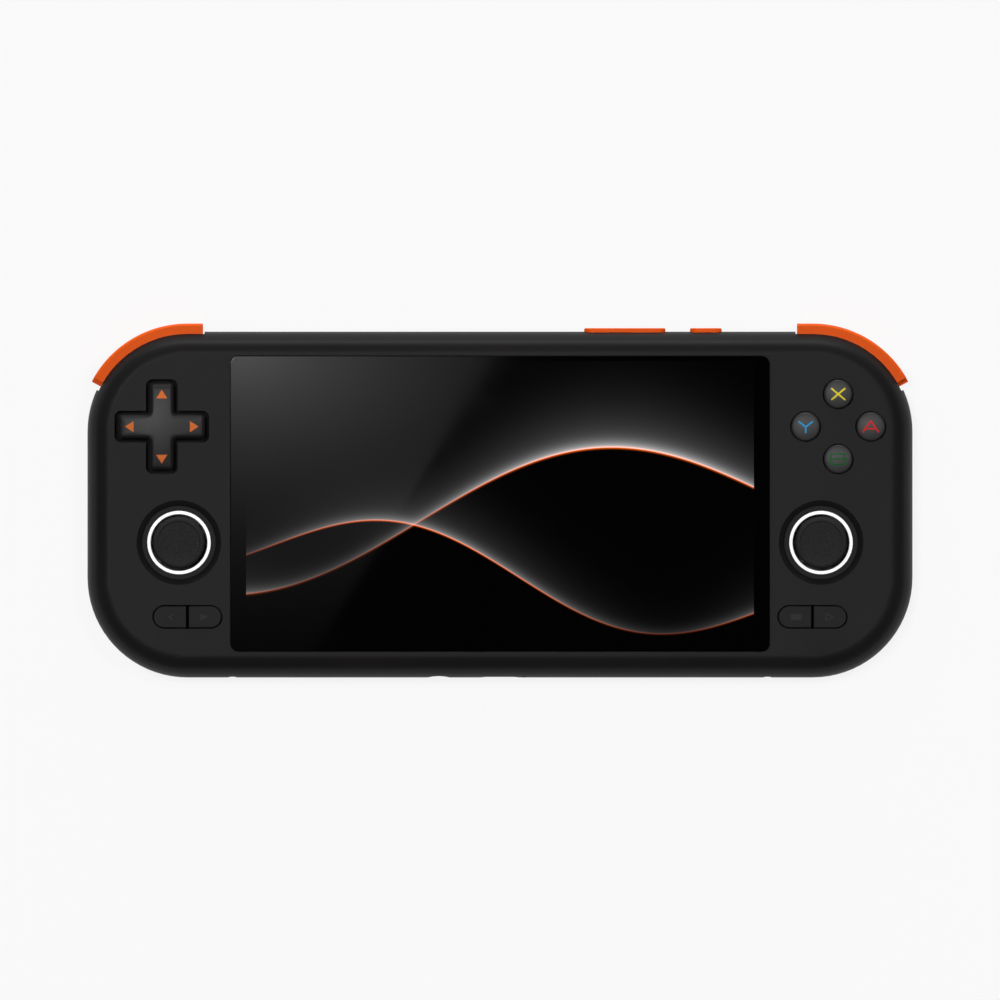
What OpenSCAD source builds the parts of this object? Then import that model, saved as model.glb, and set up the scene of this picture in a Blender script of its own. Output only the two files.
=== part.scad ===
// Handheld game console, lying on its back with the screen up.
// X runs along the console to its right grip, Y to its top edge, Z out of the screen.
// The origin is the middle of the outline on the plane of the back. Sizes are in millimetres.

/* [Body] */
// Width across both grips
body_w = 198; // [197:1:206]
// Height from the bottom edge to the top edge
body_h = 83; // [82:0.5:88]
// Thickness of the closed case
body_t = 16; // [15.5:0.25:18]
// Radius of the outline's corners
corner_r = 24; // [23:0.5:26]
// Width of the roll-off round the front face
front_inset = 5.6; // [5.3:0.1:6]
// Width of the roll-off round the back
rear_inset = 6.5; // [6.2:0.1:7]
// Radius of the tight part of both roll-offs
shoulder_r = 4.5; // [4.2:0.1:4.8]
// Wall thickness of both shells
wall = 1.6; // [1.4:0.1:1.8]

/* [Screen] */
// Width of each grip beside the cover glass
grip_w = 34.4; // [34:0.1:37]
// Height of the strip of shell above and below the cover glass
strip_h = 6.1; // [6:0.1:8.5]
// Thickness of the cover glass
glass_t = 1; // [0.7:0.1:1.2]
// Corner radius of the cover glass
glass_r = 1.8; // [1:0.2:4]
// How far the glass sits above the middle of the body
glass_up = 0.2; // [0:0.1:0.4]
// How far the glass lies below the front face
glass_sink = 0.05; // [0:0.05:0.2]
// Margin of glass beside the display panel, left and right
bezel_side = 2.9; // [2:0.1:6]
// Margin of glass above and below the display panel
bezel_end = 0.7; // [0.6:0.1:3]
// Thickness of the display panel
panel_t = 2.2; // [1.6:0.1:2.5]
// Thickness of the metal frame behind the panel
frame_t = 1.2; // [1:0.1:1.4]
// Gap round the glass and round the panel
screen_gap = 0.15; // [0.1:0.05:0.25]

/* [Direction pad] */
// Distance of the pad's centre from the side of the body
cluster_edge = 17.9; // [17.5:0.1:18.5]
// Distance of the pad's centre below the top edge
cluster_drop = 22.8; // [22.5:0.1:23.5]
// Length of the cross from tip to tip
pad_span = 20.7; // [19:0.1:21.2]
// Width of one arm of the cross
pad_arm = 5.6; // [5:0.1:6.4]
// Height of the cross above the face
pad_rise = 1.6; // [1:0.1:2.5]
// Radius of the domed top of the cross
pad_crown_r = 70; // [50:1:120]
// Gap between the cross and its opening
pad_gap = 1; // [0.8:0.05:1.1]
// Tilt of the cross in each direction, in degrees
pad_tilt = 4.5; // [3:0.5:5]
// Radius of the ball that the cross rocks on
ball_r = 1.4; // [1.1:0.1:1.6]

/* [Face keys] */
// Distance of each face key from the middle of its cluster
face_pitch = 7.8; // [7.4:0.1:8]
// Diameter of a face key
face_d = 6.85; // [6:0.05:7.2]
// Gap round a face key
face_gap = 0.32; // [0.2:0.02:0.4]
// Height of a face key above the face
face_rise = 1.3; // [0.8:0.1:2]
// Travel of a face key
face_travel = 1; // [0.6:0.1:1.2]

/* [Sticks] */
// Distance of a stick from the side of the body
stick_edge = 22; // [21.7:0.1:22.5]
// Distance of a stick below the middle of the body
stick_drop = 9.1; // [8.8:0.1:9.5]
// Diameter of the thumb cap
cap_d = 12.8; // [12:0.1:13]
// Height of the thumb cap above the face
cap_rise = 4.2; // [4:0.1:6]
// Depth of the cap's rim
cap_rim = 2.8; // [2:0.1:2.9]
// Diameter of the dished middle of the cap
dish_d = 10.45; // [8:0.1:11]
// Diameter of the well at the face
well_d = 20.3; // [20:0.1:21]
// Diameter of the well's floor
well_floor_d = 17.6; // [17.4:0.1:18.4]
// Depth of the well
well_depth = 2; // [1.8:0.1:2.2]
// Outer diameter of the light ring
ring_d = 15.1; // [15:0.05:15.8]
// Width of the light ring
ring_w = 0.7; // [0.6:0.01:1.1]
// Depth of the stick's pivot below the face
pivot_depth = 7; // [6.8:0.1:7.2]
// Side of the stick's square housing
housing_w = 16; // [15.6:0.1:16.4]
// Radius of the stick's shaft
shaft_r = 1.2; // [1:0.05:1.3]
// Largest tilt of a stick on each axis, in degrees
stick_tilt = 14; // [10:1:14]
// Click travel of a stick
stick_click = 0.5; // [0.3:0.05:0.5]

/* [Menu keys] */
// Distance of a menu pill's centre from the side of the body
menu_edge = 24.05; // [23.8:0.05:24.4]
// Distance of a menu pill's centre above the bottom edge
menu_lift = 14.55; // [14.4:0.05:15]
// Length of the opening that holds a pair of menu keys
menu_w = 16.9; // [15:0.1:17.2]
// Height of that opening
menu_h = 5.8; // [5:0.1:6]
// Gap round a menu key
menu_gap = 0.3; // [0.2:0.05:0.4]
// Gap between the two keys of a pair
menu_split = 0.5; // [0.4:0.05:0.8]
// Height of a menu key above the face
menu_rise = 0.1; // [0:0.05:0.3]
// Travel of a menu key
menu_travel = 0.5; // [0.3:0.05:0.6]

/* [Shoulder keys] */
// How far bumper and trigger stand out of the outline
shoulder_proud = 1.94; // [1.5:0.1:2.5]
// Depth of their bands inside the outline
shoulder_sunk = 1.8; // [1.5:0.1:1.9]
// Straight stretch of the bands along the top edge
shoulder_lead = 3.7; // [3.5:0.1:4]
// Arc of the bumper, in degrees
bumper_sweep = 60; // [55:1:62]
// Arc of the trigger, in degrees
trigger_sweep = 62.5; // [56:0.5:63]
// Swing of the bumper, in degrees
bumper_press = 3; // [2:0.5:3]
// Swing of the trigger, in degrees
trigger_press = 7; // [5:0.5:7]
// Thickness of the bumper along Z
bumper_t = 3.9; // [3.4:0.1:4]
// Thickness of the trigger along Z
trigger_t = 4.5; // [4:0.1:4.6]
// Radius of the hinge pin
pin_r = 1; // [0.8:0.05:1.1]

/* [Top keys] */
// Distance of the volume key from the middle
volume_x = 29.95; // [28:0.05:31]
// Length of the volume key
volume_w = 19.5; // [17:0.1:20]
// Distance of the power key from the middle
power_x = 49.4; // [48.5:0.1:51]
// Length of the power key
power_w = 7.6; // [6.5:0.1:8]
// Height of both keys along Z
top_key_h = 3.6; // [3:0.1:3.8]
// How far both keys stand out of the top edge
top_key_proud = 0.84; // [0.5:0.02:1]
// Gap round both keys
top_key_gap = 0.15; // [0.14:0.01:0.2]
// Rock of the volume key in each direction, in degrees
volume_rock = 1.5; // [1:0.25:1.5]
// Travel of the power key
power_travel = 0.4; // [0.3:0.05:0.45]

/* [Ports] */
// Width of the USB receptacle
usb_w = 8.95; // [8.9:0.05:9.1]
// Height of the USB receptacle
usb_h = 3.2; // [3.1:0.05:3.3]
// Bore of the headphone jack
jack_d = 3.6; // [3.55:0.01:3.65]
// Distance of the jack from the middle
jack_x = 14.7; // [13.5:0.1:16]
// Distance of the card slot from the middle
card_x = 46.3; // [44:0.1:47]
// Width of the card slot
card_w = 11.5; // [11.2:0.1:12]
// Height of the card slot
card_h = 1.1; // [1:0.05:1.2]
// Distance of a speaker slot from the side of the body
speaker_edge = 34.8; // [34:0.1:37]
// Width of a speaker slot
speaker_slot_w = 1.9; // [1.4:0.1:2.2]
// Height of a speaker slot
speaker_slot_h = 4; // [3:0.1:4.4]
// Distance of the microphone hole from the middle
mic_x = 5.8; // [5.4:0.1:9]
// Diameter of the microphone hole
mic_d = 1; // [0.8:0.1:1.2]

/* [Inside] */
// Width of the battery
battery_w = 96; // [80:1:104]
// Height of the battery
battery_h = 50; // [40:1:54]
// Thickness of the battery
battery_t = 4.6; // [3.6:0.1:5]
// Thickness of the circuit boards
board_t = 1; // [0.8:0.1:1.2]
// Thickness of the shield can
can_t = 1.7; // [1.2:0.1:1.8]
// Thickness of the heat spreader
spreader_t = 0.7; // [0.4:0.1:0.8]
// Depth of the button boards below the front wall
button_board_depth = 5.5; // [5.3:0.1:5.6]
// Radius of a case screw's shank
case_screw_r = 0.9; // [0.8:0.05:1]
// Radius of a board screw's shank
board_screw_r = 0.7; // [0.6:0.05:0.75]
// Radial play of pins, shafts and screws
play = 0.05; // [0.03:0.01:0.08]

/* [Hidden] */
$fn = 48;
// Overrun of a cut past the face that it opens
over = 1;
// Gap between a flange and the wall that it stops at
flange_gap = 0.1;
// Running gap of shapes that pass each other
pass_gap = 0.3;

// Heights of the shells
half_t = body_t / 2;
split_z = half_t;
face_z = body_t;
under_z = face_z - wall;
// Middles of the outline's corners, and half sizes of the body
corner_x = body_w / 2 - corner_r;
corner_y = body_h / 2 - corner_r;
side_x = body_w / 2;
edge_y = body_h / 2;

// Screen stack, from the glass down
glass_w = body_w - 2 * grip_w;
glass_h = body_h - 2 * strip_h;
glass_top = face_z - glass_sink;
glass_bot = glass_top - glass_t;
panel_bot = glass_bot - panel_t;
frame_bot = panel_bot - frame_t;
panel_w = glass_w - 2 * bezel_side;
panel_h = glass_h - 2 * bezel_end;
frame_lap = 0.8;
frame_side = glass_w / 2 + frame_lap;
frame_end = panel_h / 2 + frame_lap / 2;
ear_r = 1.8;
ear_out = 1.6;
ear_x = frame_side + ear_out;
ear_up = 24.3;
ear_down = 20.7;
ear_spots = [[ear_x, glass_up + ear_up], [ear_x, glass_up - ear_down]];

// Main board, hung under the frame and level with the ports
board_bot = split_z + usb_h / 2;
board_top = board_bot + board_t;
board_margin = 8.7;
board_left = -card_x - board_margin;
board_right = 35;
board_edge_gap = 1.6;
board_low = -edge_y + wall + board_edge_gap;
board_high = 0;
standoff_r = 1.7;
standoff_in = 5;
standoff_high = -4;
standoff_low = -30;
standoff_jack = 17.3;
standoff_spots = [[board_left + standoff_in, standoff_high], [board_right - standoff_in, standoff_high],
    [-jack_x - standoff_jack, standoff_low], [board_right - standoff_in, standoff_low]];
can_w = 40;
can_h = 18;
can_x = 5;
can_y = -12;

// Places of the controls on one grip
cluster_x = side_x - cluster_edge;
cluster_y = edge_y - cluster_drop;
stick_x = side_x - stick_edge;
stick_y = -stick_drop;
menu_x = side_x - menu_edge;
menu_y = -edge_y + menu_lift;

// Button boards, hung on posts of the front shell
button_top = under_z - button_board_depth;
button_bot = button_top - board_t;
board_post_r = 1.7;
board_post_side = 8.2;
board_post_down = 11.4;
board_post_up = 13.6;
board_post_spots = [[stick_x + board_post_side, stick_y - board_post_down],
    [stick_x + board_post_side, stick_y + board_post_up],
    [stick_x - board_post_side, stick_y + board_post_up]];
cluster_board_r = 11.4;
stick_board_w = 20.4;
stick_board_margin = 4.05;
stick_board_lap = 3.4;
stick_board_low = menu_y - stick_board_margin;
stick_board_high = cluster_y - cluster_board_r + stick_board_lap;
tongue_w = 7;
tongue_lap = 2;
tongue_root = cluster_board_r - tongue_lap;

// Case screws: their posts, heads and places
rear_post_r = 3;
front_post_r = 2.4;
case_head_r = 2;
case_head_t = 1.4;
case_seat_z = 3;
case_thread = 4.5;
case_screw_len = split_z - case_seat_z + case_thread;
// Board screws
board_head_r = 1.4;
board_head_t = 0.8;
board_thread = 1.4;
board_screw_len = board_t + board_thread;

// Direction pad
pad_top = face_z + pad_rise;
pad_pivot_depth = 3.1;
pad_flange_lift = 0.25;
pad_pivot_z = under_z - pad_pivot_depth;
pad_flange_low = pad_pivot_z + pad_flange_lift;
pad_flange_t = 0.8;
pad_flange_lap = 1.35;
pad_hub_r = 3;
pad_tip_r = 1;
opening_tip_r = 1.6;
cup_wall = 0.6;
rubber_reach = 8;
rubber_r = 1.6;

// Face keys
face_top = face_z + face_rise;
flange_top = under_z - flange_gap;
face_flange_t = 0.9;
face_flange_lap = 0.75;
face_foot_r = 2.2;
face_foot_t = 1.5;
face_foot_low = flange_top - face_flange_t - face_foot_t;
face_crown_r = 14;
dome_top = face_foot_low - face_travel - flange_gap;

// Menu keys
menu_top = face_z + menu_rise;
menu_flange_t = 0.8;
menu_flange_lap = 0.5;
menu_foot_t = 0.6;
menu_foot_low = flange_top - menu_flange_t - menu_foot_t;
menu_foot_r = 1.3;
menu_dome_top = menu_foot_low - menu_travel - flange_gap;
membrane_t = 0.8;

// Sticks
floor_top = face_z - well_depth;
floor_t = 1.1;
floor_bot = floor_top - floor_t;
ring_flange_t = 0.75;
ring_flange_lap = 0.88;
housing_top = floor_bot - ring_flange_t - play;
pivot_z = face_z - pivot_depth;
housing_wall = 1;
housing_roof = 0.8;
housing_hole_r = 6.6;
well_wall = 1.05;
well_boss_r = well_d / 2 + well_wall;
ring_gap = 0.06;
yoke_w = 9.2;
yoke_hole = 6.4;
yoke_t = 2.8;
yoke_pin_r = 0.9;
trunnion_r = 2.6;
trunnion_pin_r = 0.8;
foot_r = 1.9;
foot_t = 0.7;
shaft_drop = 3.5;
shaft_low = pivot_z - shaft_drop;
// Depth that the foot reaches when the stick is tilted on both axes and pressed
lean = acos(cos(stick_tilt) ^ 2);
foot_reach = (shaft_drop + stick_click) * cos(lean) + foot_r * sin(lean);
housing_low = pivot_z - foot_reach - 2 * flange_gap - housing_roof;
cap_top = face_z + cap_rise;
cap_low = cap_top - cap_rim;
cap_cover = 1.6;
shaft_top = cap_top - cap_cover;
cap_hub_r = 3.2;
skirt_r = 6.2;
skirt_t = 0.6;
skirt_angle = 48;
dish_deep = 0.5;
dish_ball_r = (dish_d * dish_d / 4 + dish_deep * dish_deep) / (2 * dish_deep);

// Shoulder keys, hinged on a pin that stands between the shells
band_out = corner_r + shoulder_proud;
band_in = corner_r - shoulder_sunk;
hinge_in = 6.5;
hinge_x = corner_x - hinge_in;
hinge_y = edge_y - rear_inset - pass_gap;
hub_wall = 1.2;
hub_r = pin_r + hub_wall;
hub_gap = 0.2;
bumper_down = 0.7;
bumper_low = split_z - bumper_down;
bumper_high = bumper_low + bumper_t;
band_gap = 0.4;
trigger_high = bumper_low - band_gap;
trigger_low = trigger_high - trigger_t;
bumper_hub_low = bumper_low + hub_gap;
bumper_hub_high = bumper_high - flange_gap;
rear_boss_h = 1.4;
trigger_hub_low = wall + rear_boss_h + flange_gap;
trigger_hub_t = 2.5;
rear_boss_top = wall + rear_boss_h;
front_boss_low = bumper_hub_high + hub_gap;
pin_seat = 0.7;
pin_grip = 2;
pin_low = rear_boss_top - pin_seat;
pin_high = front_boss_low + pin_grip;
notch_gap = 0.5;
notch_top = bumper_high + hub_gap;
notch_low = trigger_low - notch_gap;
bumper_notch_sweep = bumper_sweep + bumper_press + 2.3;
trigger_notch_sweep = trigger_sweep + trigger_press + 1.5;
bumper_notch_deep = 3;
trigger_notch_deep = 5.5;
notch_over = 8;
bumper_notch_in = corner_r - bumper_notch_deep;
trigger_notch_in = corner_r - trigger_notch_deep;
notch_lead = shoulder_lead + band_gap;
notch_reach = corner_r + notch_over;
arm_w = 2.6;
arm_lap = 0.5;
switch_angle = 55;
switch_back = 6.8;
switch_front = 4;
plunger_t = 0.5;
switch_in = corner_r - switch_back;
switch_out = corner_r - switch_front;
plunger_out = switch_out + plunger_t;
switch_h = 2;
switch_w = 5;
nose_w = 3;
nose_t = 1.2;
sensor_w = 2;
sensor_t = 0.9;
spring_wall = 0.6;
// Case screws of one side: by the hinge, beside the stick and by the bottom edge
case_hinge_side = 1.7;
case_hinge_drop = 6.4;
case_low_edge = 28;
case_low_in = 0.6;
case_side_x = side_x - rear_inset - rear_post_r - pass_gap;
case_low_y = -edge_y + rear_inset + case_low_in;
case_spots = [[hinge_x + case_hinge_side, hinge_y - case_hinge_drop], [case_side_x, 0],
    [side_x - case_low_edge, case_low_y]];

// Top keys
key_flange_gap = 0.9;
key_flange_top = edge_y - wall - key_flange_gap;
key_flange_t = 0.8;
key_flange_lap = 0.6;
key_flange_low = key_flange_top - key_flange_t;
key_switch_room = 0.8;
key_board_t = 0.8;
key_board_top = key_flange_low - key_switch_room;
key_board_low = key_board_top - key_board_t;
key_board_h = 4.8;
rib_t = 1.1;
rib_w = 2.4;
rib_spots = [volume_x, power_x];
switch_gap = (volume_w / 3 + 1) * sin(volume_rock) + play;

// Ports
port_sunk = 0.6;
port_nose_y = -edge_y + port_sunk;
port_gap = 0.15;
usb_deep = 7.4;
usb_skin = 0.3;
usb_tongue_w = 6.7;
usb_tongue_t = 0.7;
usb_tongue_in = 0.8;
mic_up = 2.2;
jack_w = 6.6;
jack_h = 5.2;
jack_nose_r = 2.5;
jack_len = 13.8;
jack_wall_gap = 1;
card_case_skin = 0.85;
card_case_floor = 0.4;
jack_block_y = -edge_y + wall + jack_wall_gap;
card_case_w = card_w + 2 * card_case_skin;
card_case_t = board_bot - split_z + card_case_floor;
card_len = 14.9;
speaker_slot_x = side_x - speaker_edge;
speaker_w = 11;
speaker_shift = 2.2;
speaker_d = 6.9;
speaker_t = 4.8;
battery_y = 4;

// Children drawn on the right grip, or mirrored onto the left one
module on_side(right) {
    if (right) children();
    else mirror([1, 0, 0]) children();
}

// Extrudes an outline drawn in X and Z along Y
module along_y(from, to) {
    translate([0, to, 0]) rotate([90, 0, 0]) linear_extrude(to - from) children();
}

// Quarter of a disc
module quarter_disc(r) {
    intersection() {
        circle(r);
        square([r, r]);
    }
}

// Rectangle with round corners, centred
module round_rect(w, h, r) {
    square([w - 2 * r, h], center = true);
    square([w, h - 2 * r], center = true);
    for (turn = [0, 180], flip = [0, 1])
        rotate(turn) mirror([flip, 0]) translate([w / 2 - r, h / 2 - r]) quarter_disc(r);
}

// Bar with half-round ends, centred
module pill(w, h) {
    square([w - h, h], center = true);
    for (flip = [0, 1])
        mirror([flip, 0]) translate([(w - h) / 2, 0]) intersection() {
            circle(h / 2);
            translate([0, -h / 2]) square([h / 2, h]);
        }
}

// Cross of two rounded bars
module cross(span, arm, r) {
    round_rect(span, arm, r);
    round_rect(arm, span, r);
}

// Edge of one half of the case: a gentle side arc that runs into a tight shoulder arc
module half_profile(inset_edge, skin) {
    big_r = (inset_edge ^ 2 + half_t ^ 2 - 2 * half_t * shoulder_r) / (2 * (inset_edge - shoulder_r));
    small_mid = [corner_r - inset_edge, half_t - shoulder_r];
    big_mid = [corner_r - big_r, 0];
    meet = atan2(small_mid[1], small_mid[0] - big_mid[0]);
    far = small_mid + 2 * shoulder_r * [cos(meet), sin(meet)];
    low = skin > 0 ? over : 0;
    translate([0, -low]) square([small_mid[0], half_t - skin + low]);
    intersection() {
        translate(big_mid) circle(big_r - skin);
        polygon([[small_mid[0], -low], [corner_r + over, -low], [corner_r + over, far[1]], far, small_mid]);
    }
    intersection() {
        translate(small_mid) circle(shoulder_r - skin);
        polygon([small_mid, far, [small_mid[0], far[1]]]);
    }
}

// Half of the case as a solid, its outside moved in by skin
module half_slab(inset_edge, skin) {
    low = skin > 0 ? over : 0;
    for (quarter = [0 : 3]) {
        sx = quarter == 0 || quarter == 3 ? 1 : -1;
        sy = quarter < 2 ? 1 : -1;
        translate([sx * corner_x, sy * corner_y, 0]) rotate(90 * quarter)
            rotate_extrude(angle = 90) half_profile(inset_edge, skin);
    }
    for (turn = [0, 180]) {
        rotate(turn) translate([corner_x, 0, 0]) along_y(-corner_y, corner_y) half_profile(inset_edge, skin);
        rotate(turn + 90) translate([corner_y, 0, 0])
            along_y(-corner_x, corner_x) half_profile(inset_edge, skin);
    }
    translate([-corner_x, -corner_y, -low]) cube([2 * corner_x, 2 * corner_y, half_t - skin + low]);
}

// Front half and rear half, standing in their places
module front_half(skin) {
    translate([0, 0, split_z]) half_slab(front_inset, skin);
}
module rear_half(skin) {
    translate([0, 0, split_z]) mirror([0, 0, 1]) half_slab(rear_inset, skin);
}

// Upright cylinder between two heights
module post(r, low, high) {
    translate([0, 0, low]) cylinder(r = r, h = high - low);
}

// Screw with its head below z = 0 and its shank above
module screw(r, len, head_r, head_t) {
    difference() {
        union() {
            post(r, 0, len);
            post(head_r, -head_t, 0);
        }
        for (turn = [0, 90])
            rotate(turn) translate([-head_r * 0.6, -head_r * 0.12, -head_t - over])
                cube([head_r * 1.2, head_r * 0.24, head_t / 2 + over]);
    }
}

// Places of the case screws and board screws on both sides
module at_case_spots() {
    for (right = [false, true], spot = case_spots) on_side(right) translate(spot) children();
}
module at_board_posts() {
    for (right = [false, true], spot = board_post_spots) on_side(right) translate(spot) children();
}
module at_frame_ears() {
    for (right = [false, true], spot = ear_spots) on_side(right) translate(spot) children();
}

// Band of a shoulder key: an arc round the corner and a straight lead along the top edge
module shoulder_band(lead, sweep) {
    translate([corner_x, corner_y, 0]) {
        rotate(90) mirror([0, 1, 0]) rotate_extrude(angle = sweep) children();
        translate([-lead, 0, 0]) rotate([90, 0, 90]) linear_extrude(lead) children();
    }
}

// Rectangle in radius and height for a shoulder band
module band_box(inner, outer, low, high) {
    translate([inner, low]) square([outer - inner, high - low]);
}

// Opening of a menu key pair, of a top key and of the ports
module menu_outline(grow) {
    pill(menu_w + 2 * grow, menu_h + 2 * grow);
}
module top_key_outline(w, grow) {
    translate([0, split_z]) pill(w + 2 * grow, top_key_h + 2 * grow);
}

// Cuts through the bottom and top edges that both shells share
module edge_cuts() {
    wall_low = -edge_y - over;
    wall_high = -edge_y + wall + over;
    along_y(wall_low, wall_high) translate([0, split_z]) pill(usb_w + 2 * port_gap, usb_h + 2 * port_gap);
    along_y(wall_low, wall_high) translate([-jack_x, split_z]) circle(jack_nose_r + port_gap);
    for (right = [false, true]) on_side(right)
        along_y(wall_low, wall_high) translate([speaker_slot_x, split_z]) rotate(90)
            pill(speaker_slot_h, speaker_slot_w);
    along_y(edge_y - wall - over, edge_y + over) {
        translate([volume_x, 0]) top_key_outline(volume_w, top_key_gap);
        translate([power_x, 0]) top_key_outline(power_w, top_key_gap);
    }
}

// Posts, bosses and ribs that stand on the inside of the front wall
module front_posts() {
    at_case_spots() post(front_post_r, split_z, face_z);
    at_board_posts() post(board_post_r, button_top, face_z);
    at_frame_ears() post(ear_r, panel_bot, face_z);
    for (right = [false, true]) on_side(right) {
        translate([stick_x, stick_y]) post(well_boss_r, floor_bot, face_z);
        translate([hinge_x, hinge_y]) post(hub_r, front_boss_low, face_z);
    }
    for (x = rib_spots)
        translate([x - rib_w / 2, key_board_low - rib_t, split_z - key_board_h / 2])
            cube([rib_w, rib_t, face_z - split_z + key_board_h / 2]);
}

// Openings in the front face
module face_cuts() {
    translate([0, glass_up, glass_bot]) linear_extrude(glass_t + over)
        round_rect(glass_w + 2 * screen_gap, glass_h + 2 * screen_gap, glass_r + screen_gap);
    translate([-panel_w / 2 - screen_gap, glass_up - panel_h / 2 - screen_gap, panel_bot])
        cube([panel_w + 2 * screen_gap, panel_h + 2 * screen_gap, panel_t + over / 2]);
    translate([-cluster_x, cluster_y, under_z - over]) linear_extrude(wall + 2 * over)
        cross(pad_span + 2 * pad_gap, pad_arm + 2 * pad_gap, opening_tip_r);
    for (turn = [0 : 90 : 270])
        translate([cluster_x, cluster_y]) rotate(turn) translate([face_pitch, 0])
            post(face_d / 2 + face_gap, under_z - over, face_z + over);
    for (right = [false, true]) on_side(right) {
        translate([menu_x, menu_y, under_z - over]) linear_extrude(wall + 2 * over) menu_outline(0);
        translate([stick_x, stick_y]) {
            rotate_extrude() polygon([[0, floor_top], [well_floor_d / 2, floor_top], [well_d / 2, face_z],
                [well_d / 2, face_z + over], [0, face_z + over]]);
            post(ring_d / 2 + ring_gap, floor_bot - over, floor_top + over);
        }
    }
}

// Front shell: face, front roll-off and the posts behind it
module front_shell() color([0.16, 0.15, 0.16]) {
    difference() {
        union() {
            difference() {
                front_half(0);
                front_half(wall);
            }
            intersection() {
                union() {
                    front_half(wall / 2);
                    for (x = rib_spots)
                        translate([x - rib_w, key_board_low - rib_w, over])
                            cube([2 * rib_w, 2 * rib_w, split_z]);
                }
                front_posts();
            }
        }
        face_cuts();
        edge_cuts();
        at_case_spots() post(case_screw_r + play, split_z - over, split_z + case_thread + over);
        at_board_posts() post(board_screw_r + play, button_top - over, button_top + board_screw_len);
        at_frame_ears() post(board_screw_r + play, panel_bot - over, panel_bot + board_screw_len - board_t);
        for (right = [false, true]) on_side(right) {
            translate([hinge_x, hinge_y]) post(pin_r + play, front_boss_low - over, pin_high + flange_gap);
            shoulder_band(notch_lead, bumper_notch_sweep)
                band_box(bumper_notch_in, notch_reach, split_z - over, notch_top);
        }
        along_y(-edge_y - over, -edge_y + wall + over)
            translate([-card_x - card_w / 2, split_z]) square([card_w, card_h]);
        along_y(-edge_y - over, -edge_y + wall + over) translate([mic_x, split_z + mic_up]) circle(d = mic_d);
    }
}

// Rear shell: back, rear roll-off and the posts for the case screws
module rear_shell() color([0.13, 0.13, 0.14]) {
    difference() {
        union() {
            difference() {
                rear_half(0);
                rear_half(wall);
            }
            at_case_spots() post(rear_post_r, wall / 2, split_z);
            for (right = [false, true]) on_side(right)
                translate([hinge_x, hinge_y]) post(hub_r, wall / 2, rear_boss_top);
        }
        edge_cuts();
        at_case_spots() {
            post(case_screw_r + play, case_seat_z - over, split_z + over);
            post(case_head_r + 2 * flange_gap, -over, case_seat_z);
        }
        for (right = [false, true]) on_side(right) {
            translate([hinge_x, hinge_y]) post(pin_r + play, pin_low - flange_gap, rear_boss_top + over);
            shoulder_band(notch_lead, trigger_notch_sweep)
                band_box(trigger_notch_in, notch_reach, notch_low, split_z + over);
        }
    }
}

// Cover glass
module screen_glass() color([0.03, 0.03, 0.04]) {
    translate([0, glass_up, glass_bot]) linear_extrude(glass_t) round_rect(glass_w, glass_h, glass_r);
}

// Display panel, bonded to the back of the glass
module display_panel() color([0.1, 0.1, 0.12]) {
    translate([-panel_w / 2, glass_up - panel_h / 2, panel_bot]) cube([panel_w, panel_h, panel_t]);
}

// Metal frame that carries the panel, with ears for its screws and stand-offs for the main board
module mid_frame() color([0.55, 0.56, 0.58]) {
    difference() {
        union() {
            translate([-frame_side, glass_up - frame_end, frame_bot])
                cube([2 * frame_side, 2 * frame_end, frame_t]);
            at_frame_ears() {
                post(ear_r, frame_bot, panel_bot);
                translate([-ear_r - over, -ear_r, frame_bot]) cube([ear_r + over, 2 * ear_r, frame_t]);
            }
            for (spot = standoff_spots) translate(spot) post(standoff_r, board_top, frame_bot + frame_t / 2);
        }
        at_frame_ears() post(board_screw_r + play, frame_bot - over, panel_bot + over);
        for (spot = standoff_spots)
            translate(spot)
                post(board_screw_r + play, board_top - over, board_bot + board_screw_len + flange_gap);
    }
}

// Main board, notched round the headphone jack
module main_board() color([0.05, 0.3, 0.18]) {
    difference() {
        translate([board_left, board_low, board_bot])
            cube([board_right - board_left, board_high - board_low, board_t]);
        translate([-jack_x - jack_w / 2 - flange_gap, board_low - over, board_bot - over])
            cube([jack_w + 2 * flange_gap, jack_block_y - board_low + jack_len + over, board_t + 2 * over]);
        for (spot = standoff_spots)
            translate(spot) post(board_screw_r + play, board_bot - over, board_top + over);
    }
}

// Shield can over the processor, on the underside of the main board
module shield_can() color([0.7, 0.7, 0.72]) {
    translate([can_x, can_y, board_bot - can_t]) linear_extrude(can_t) round_rect(can_w, can_h, 1);
}

// Heat spreader under the shield can
module heat_spreader() color([0.72, 0.45, 0.3]) {
    translate([can_x, can_y, board_bot - can_t - spreader_t]) linear_extrude(spreader_t)
        round_rect(can_w + 8, can_h + 2, 2);
}

// Battery, glued to the back wall
module battery() color([0.2, 0.2, 0.22]) {
    translate([0, battery_y, wall]) linear_extrude(battery_t) round_rect(battery_w, battery_h, 2);
}

// USB receptacle with its tongue
module usb_port() color([0.75, 0.75, 0.77]) {
    along_y(port_nose_y, port_nose_y + usb_deep) translate([0, split_z]) difference() {
        pill(usb_w, usb_h);
        pill(usb_w - 2 * usb_skin, usb_h - 2 * usb_skin);
    }
    along_y(port_nose_y + usb_deep - usb_skin, port_nose_y + usb_deep)
        translate([0, split_z]) pill(usb_w, usb_h);
    along_y(port_nose_y + usb_tongue_in, port_nose_y + usb_deep)
        translate([0, split_z]) square([usb_tongue_w, usb_tongue_t], center = true);
}

// Headphone jack: block, nose and bore
module headphone_jack() color([0.1, 0.1, 0.1]) {
    difference() {
        union() {
            translate([-jack_x - jack_w / 2, jack_block_y, split_z - jack_h / 2])
                cube([jack_w, jack_len, jack_h]);
            along_y(port_nose_y, jack_block_y + over) translate([-jack_x, split_z]) circle(jack_nose_r);
        }
        along_y(port_nose_y - over, port_nose_y + jack_len) translate([-jack_x, split_z]) circle(d = jack_d);
    }
}

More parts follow.
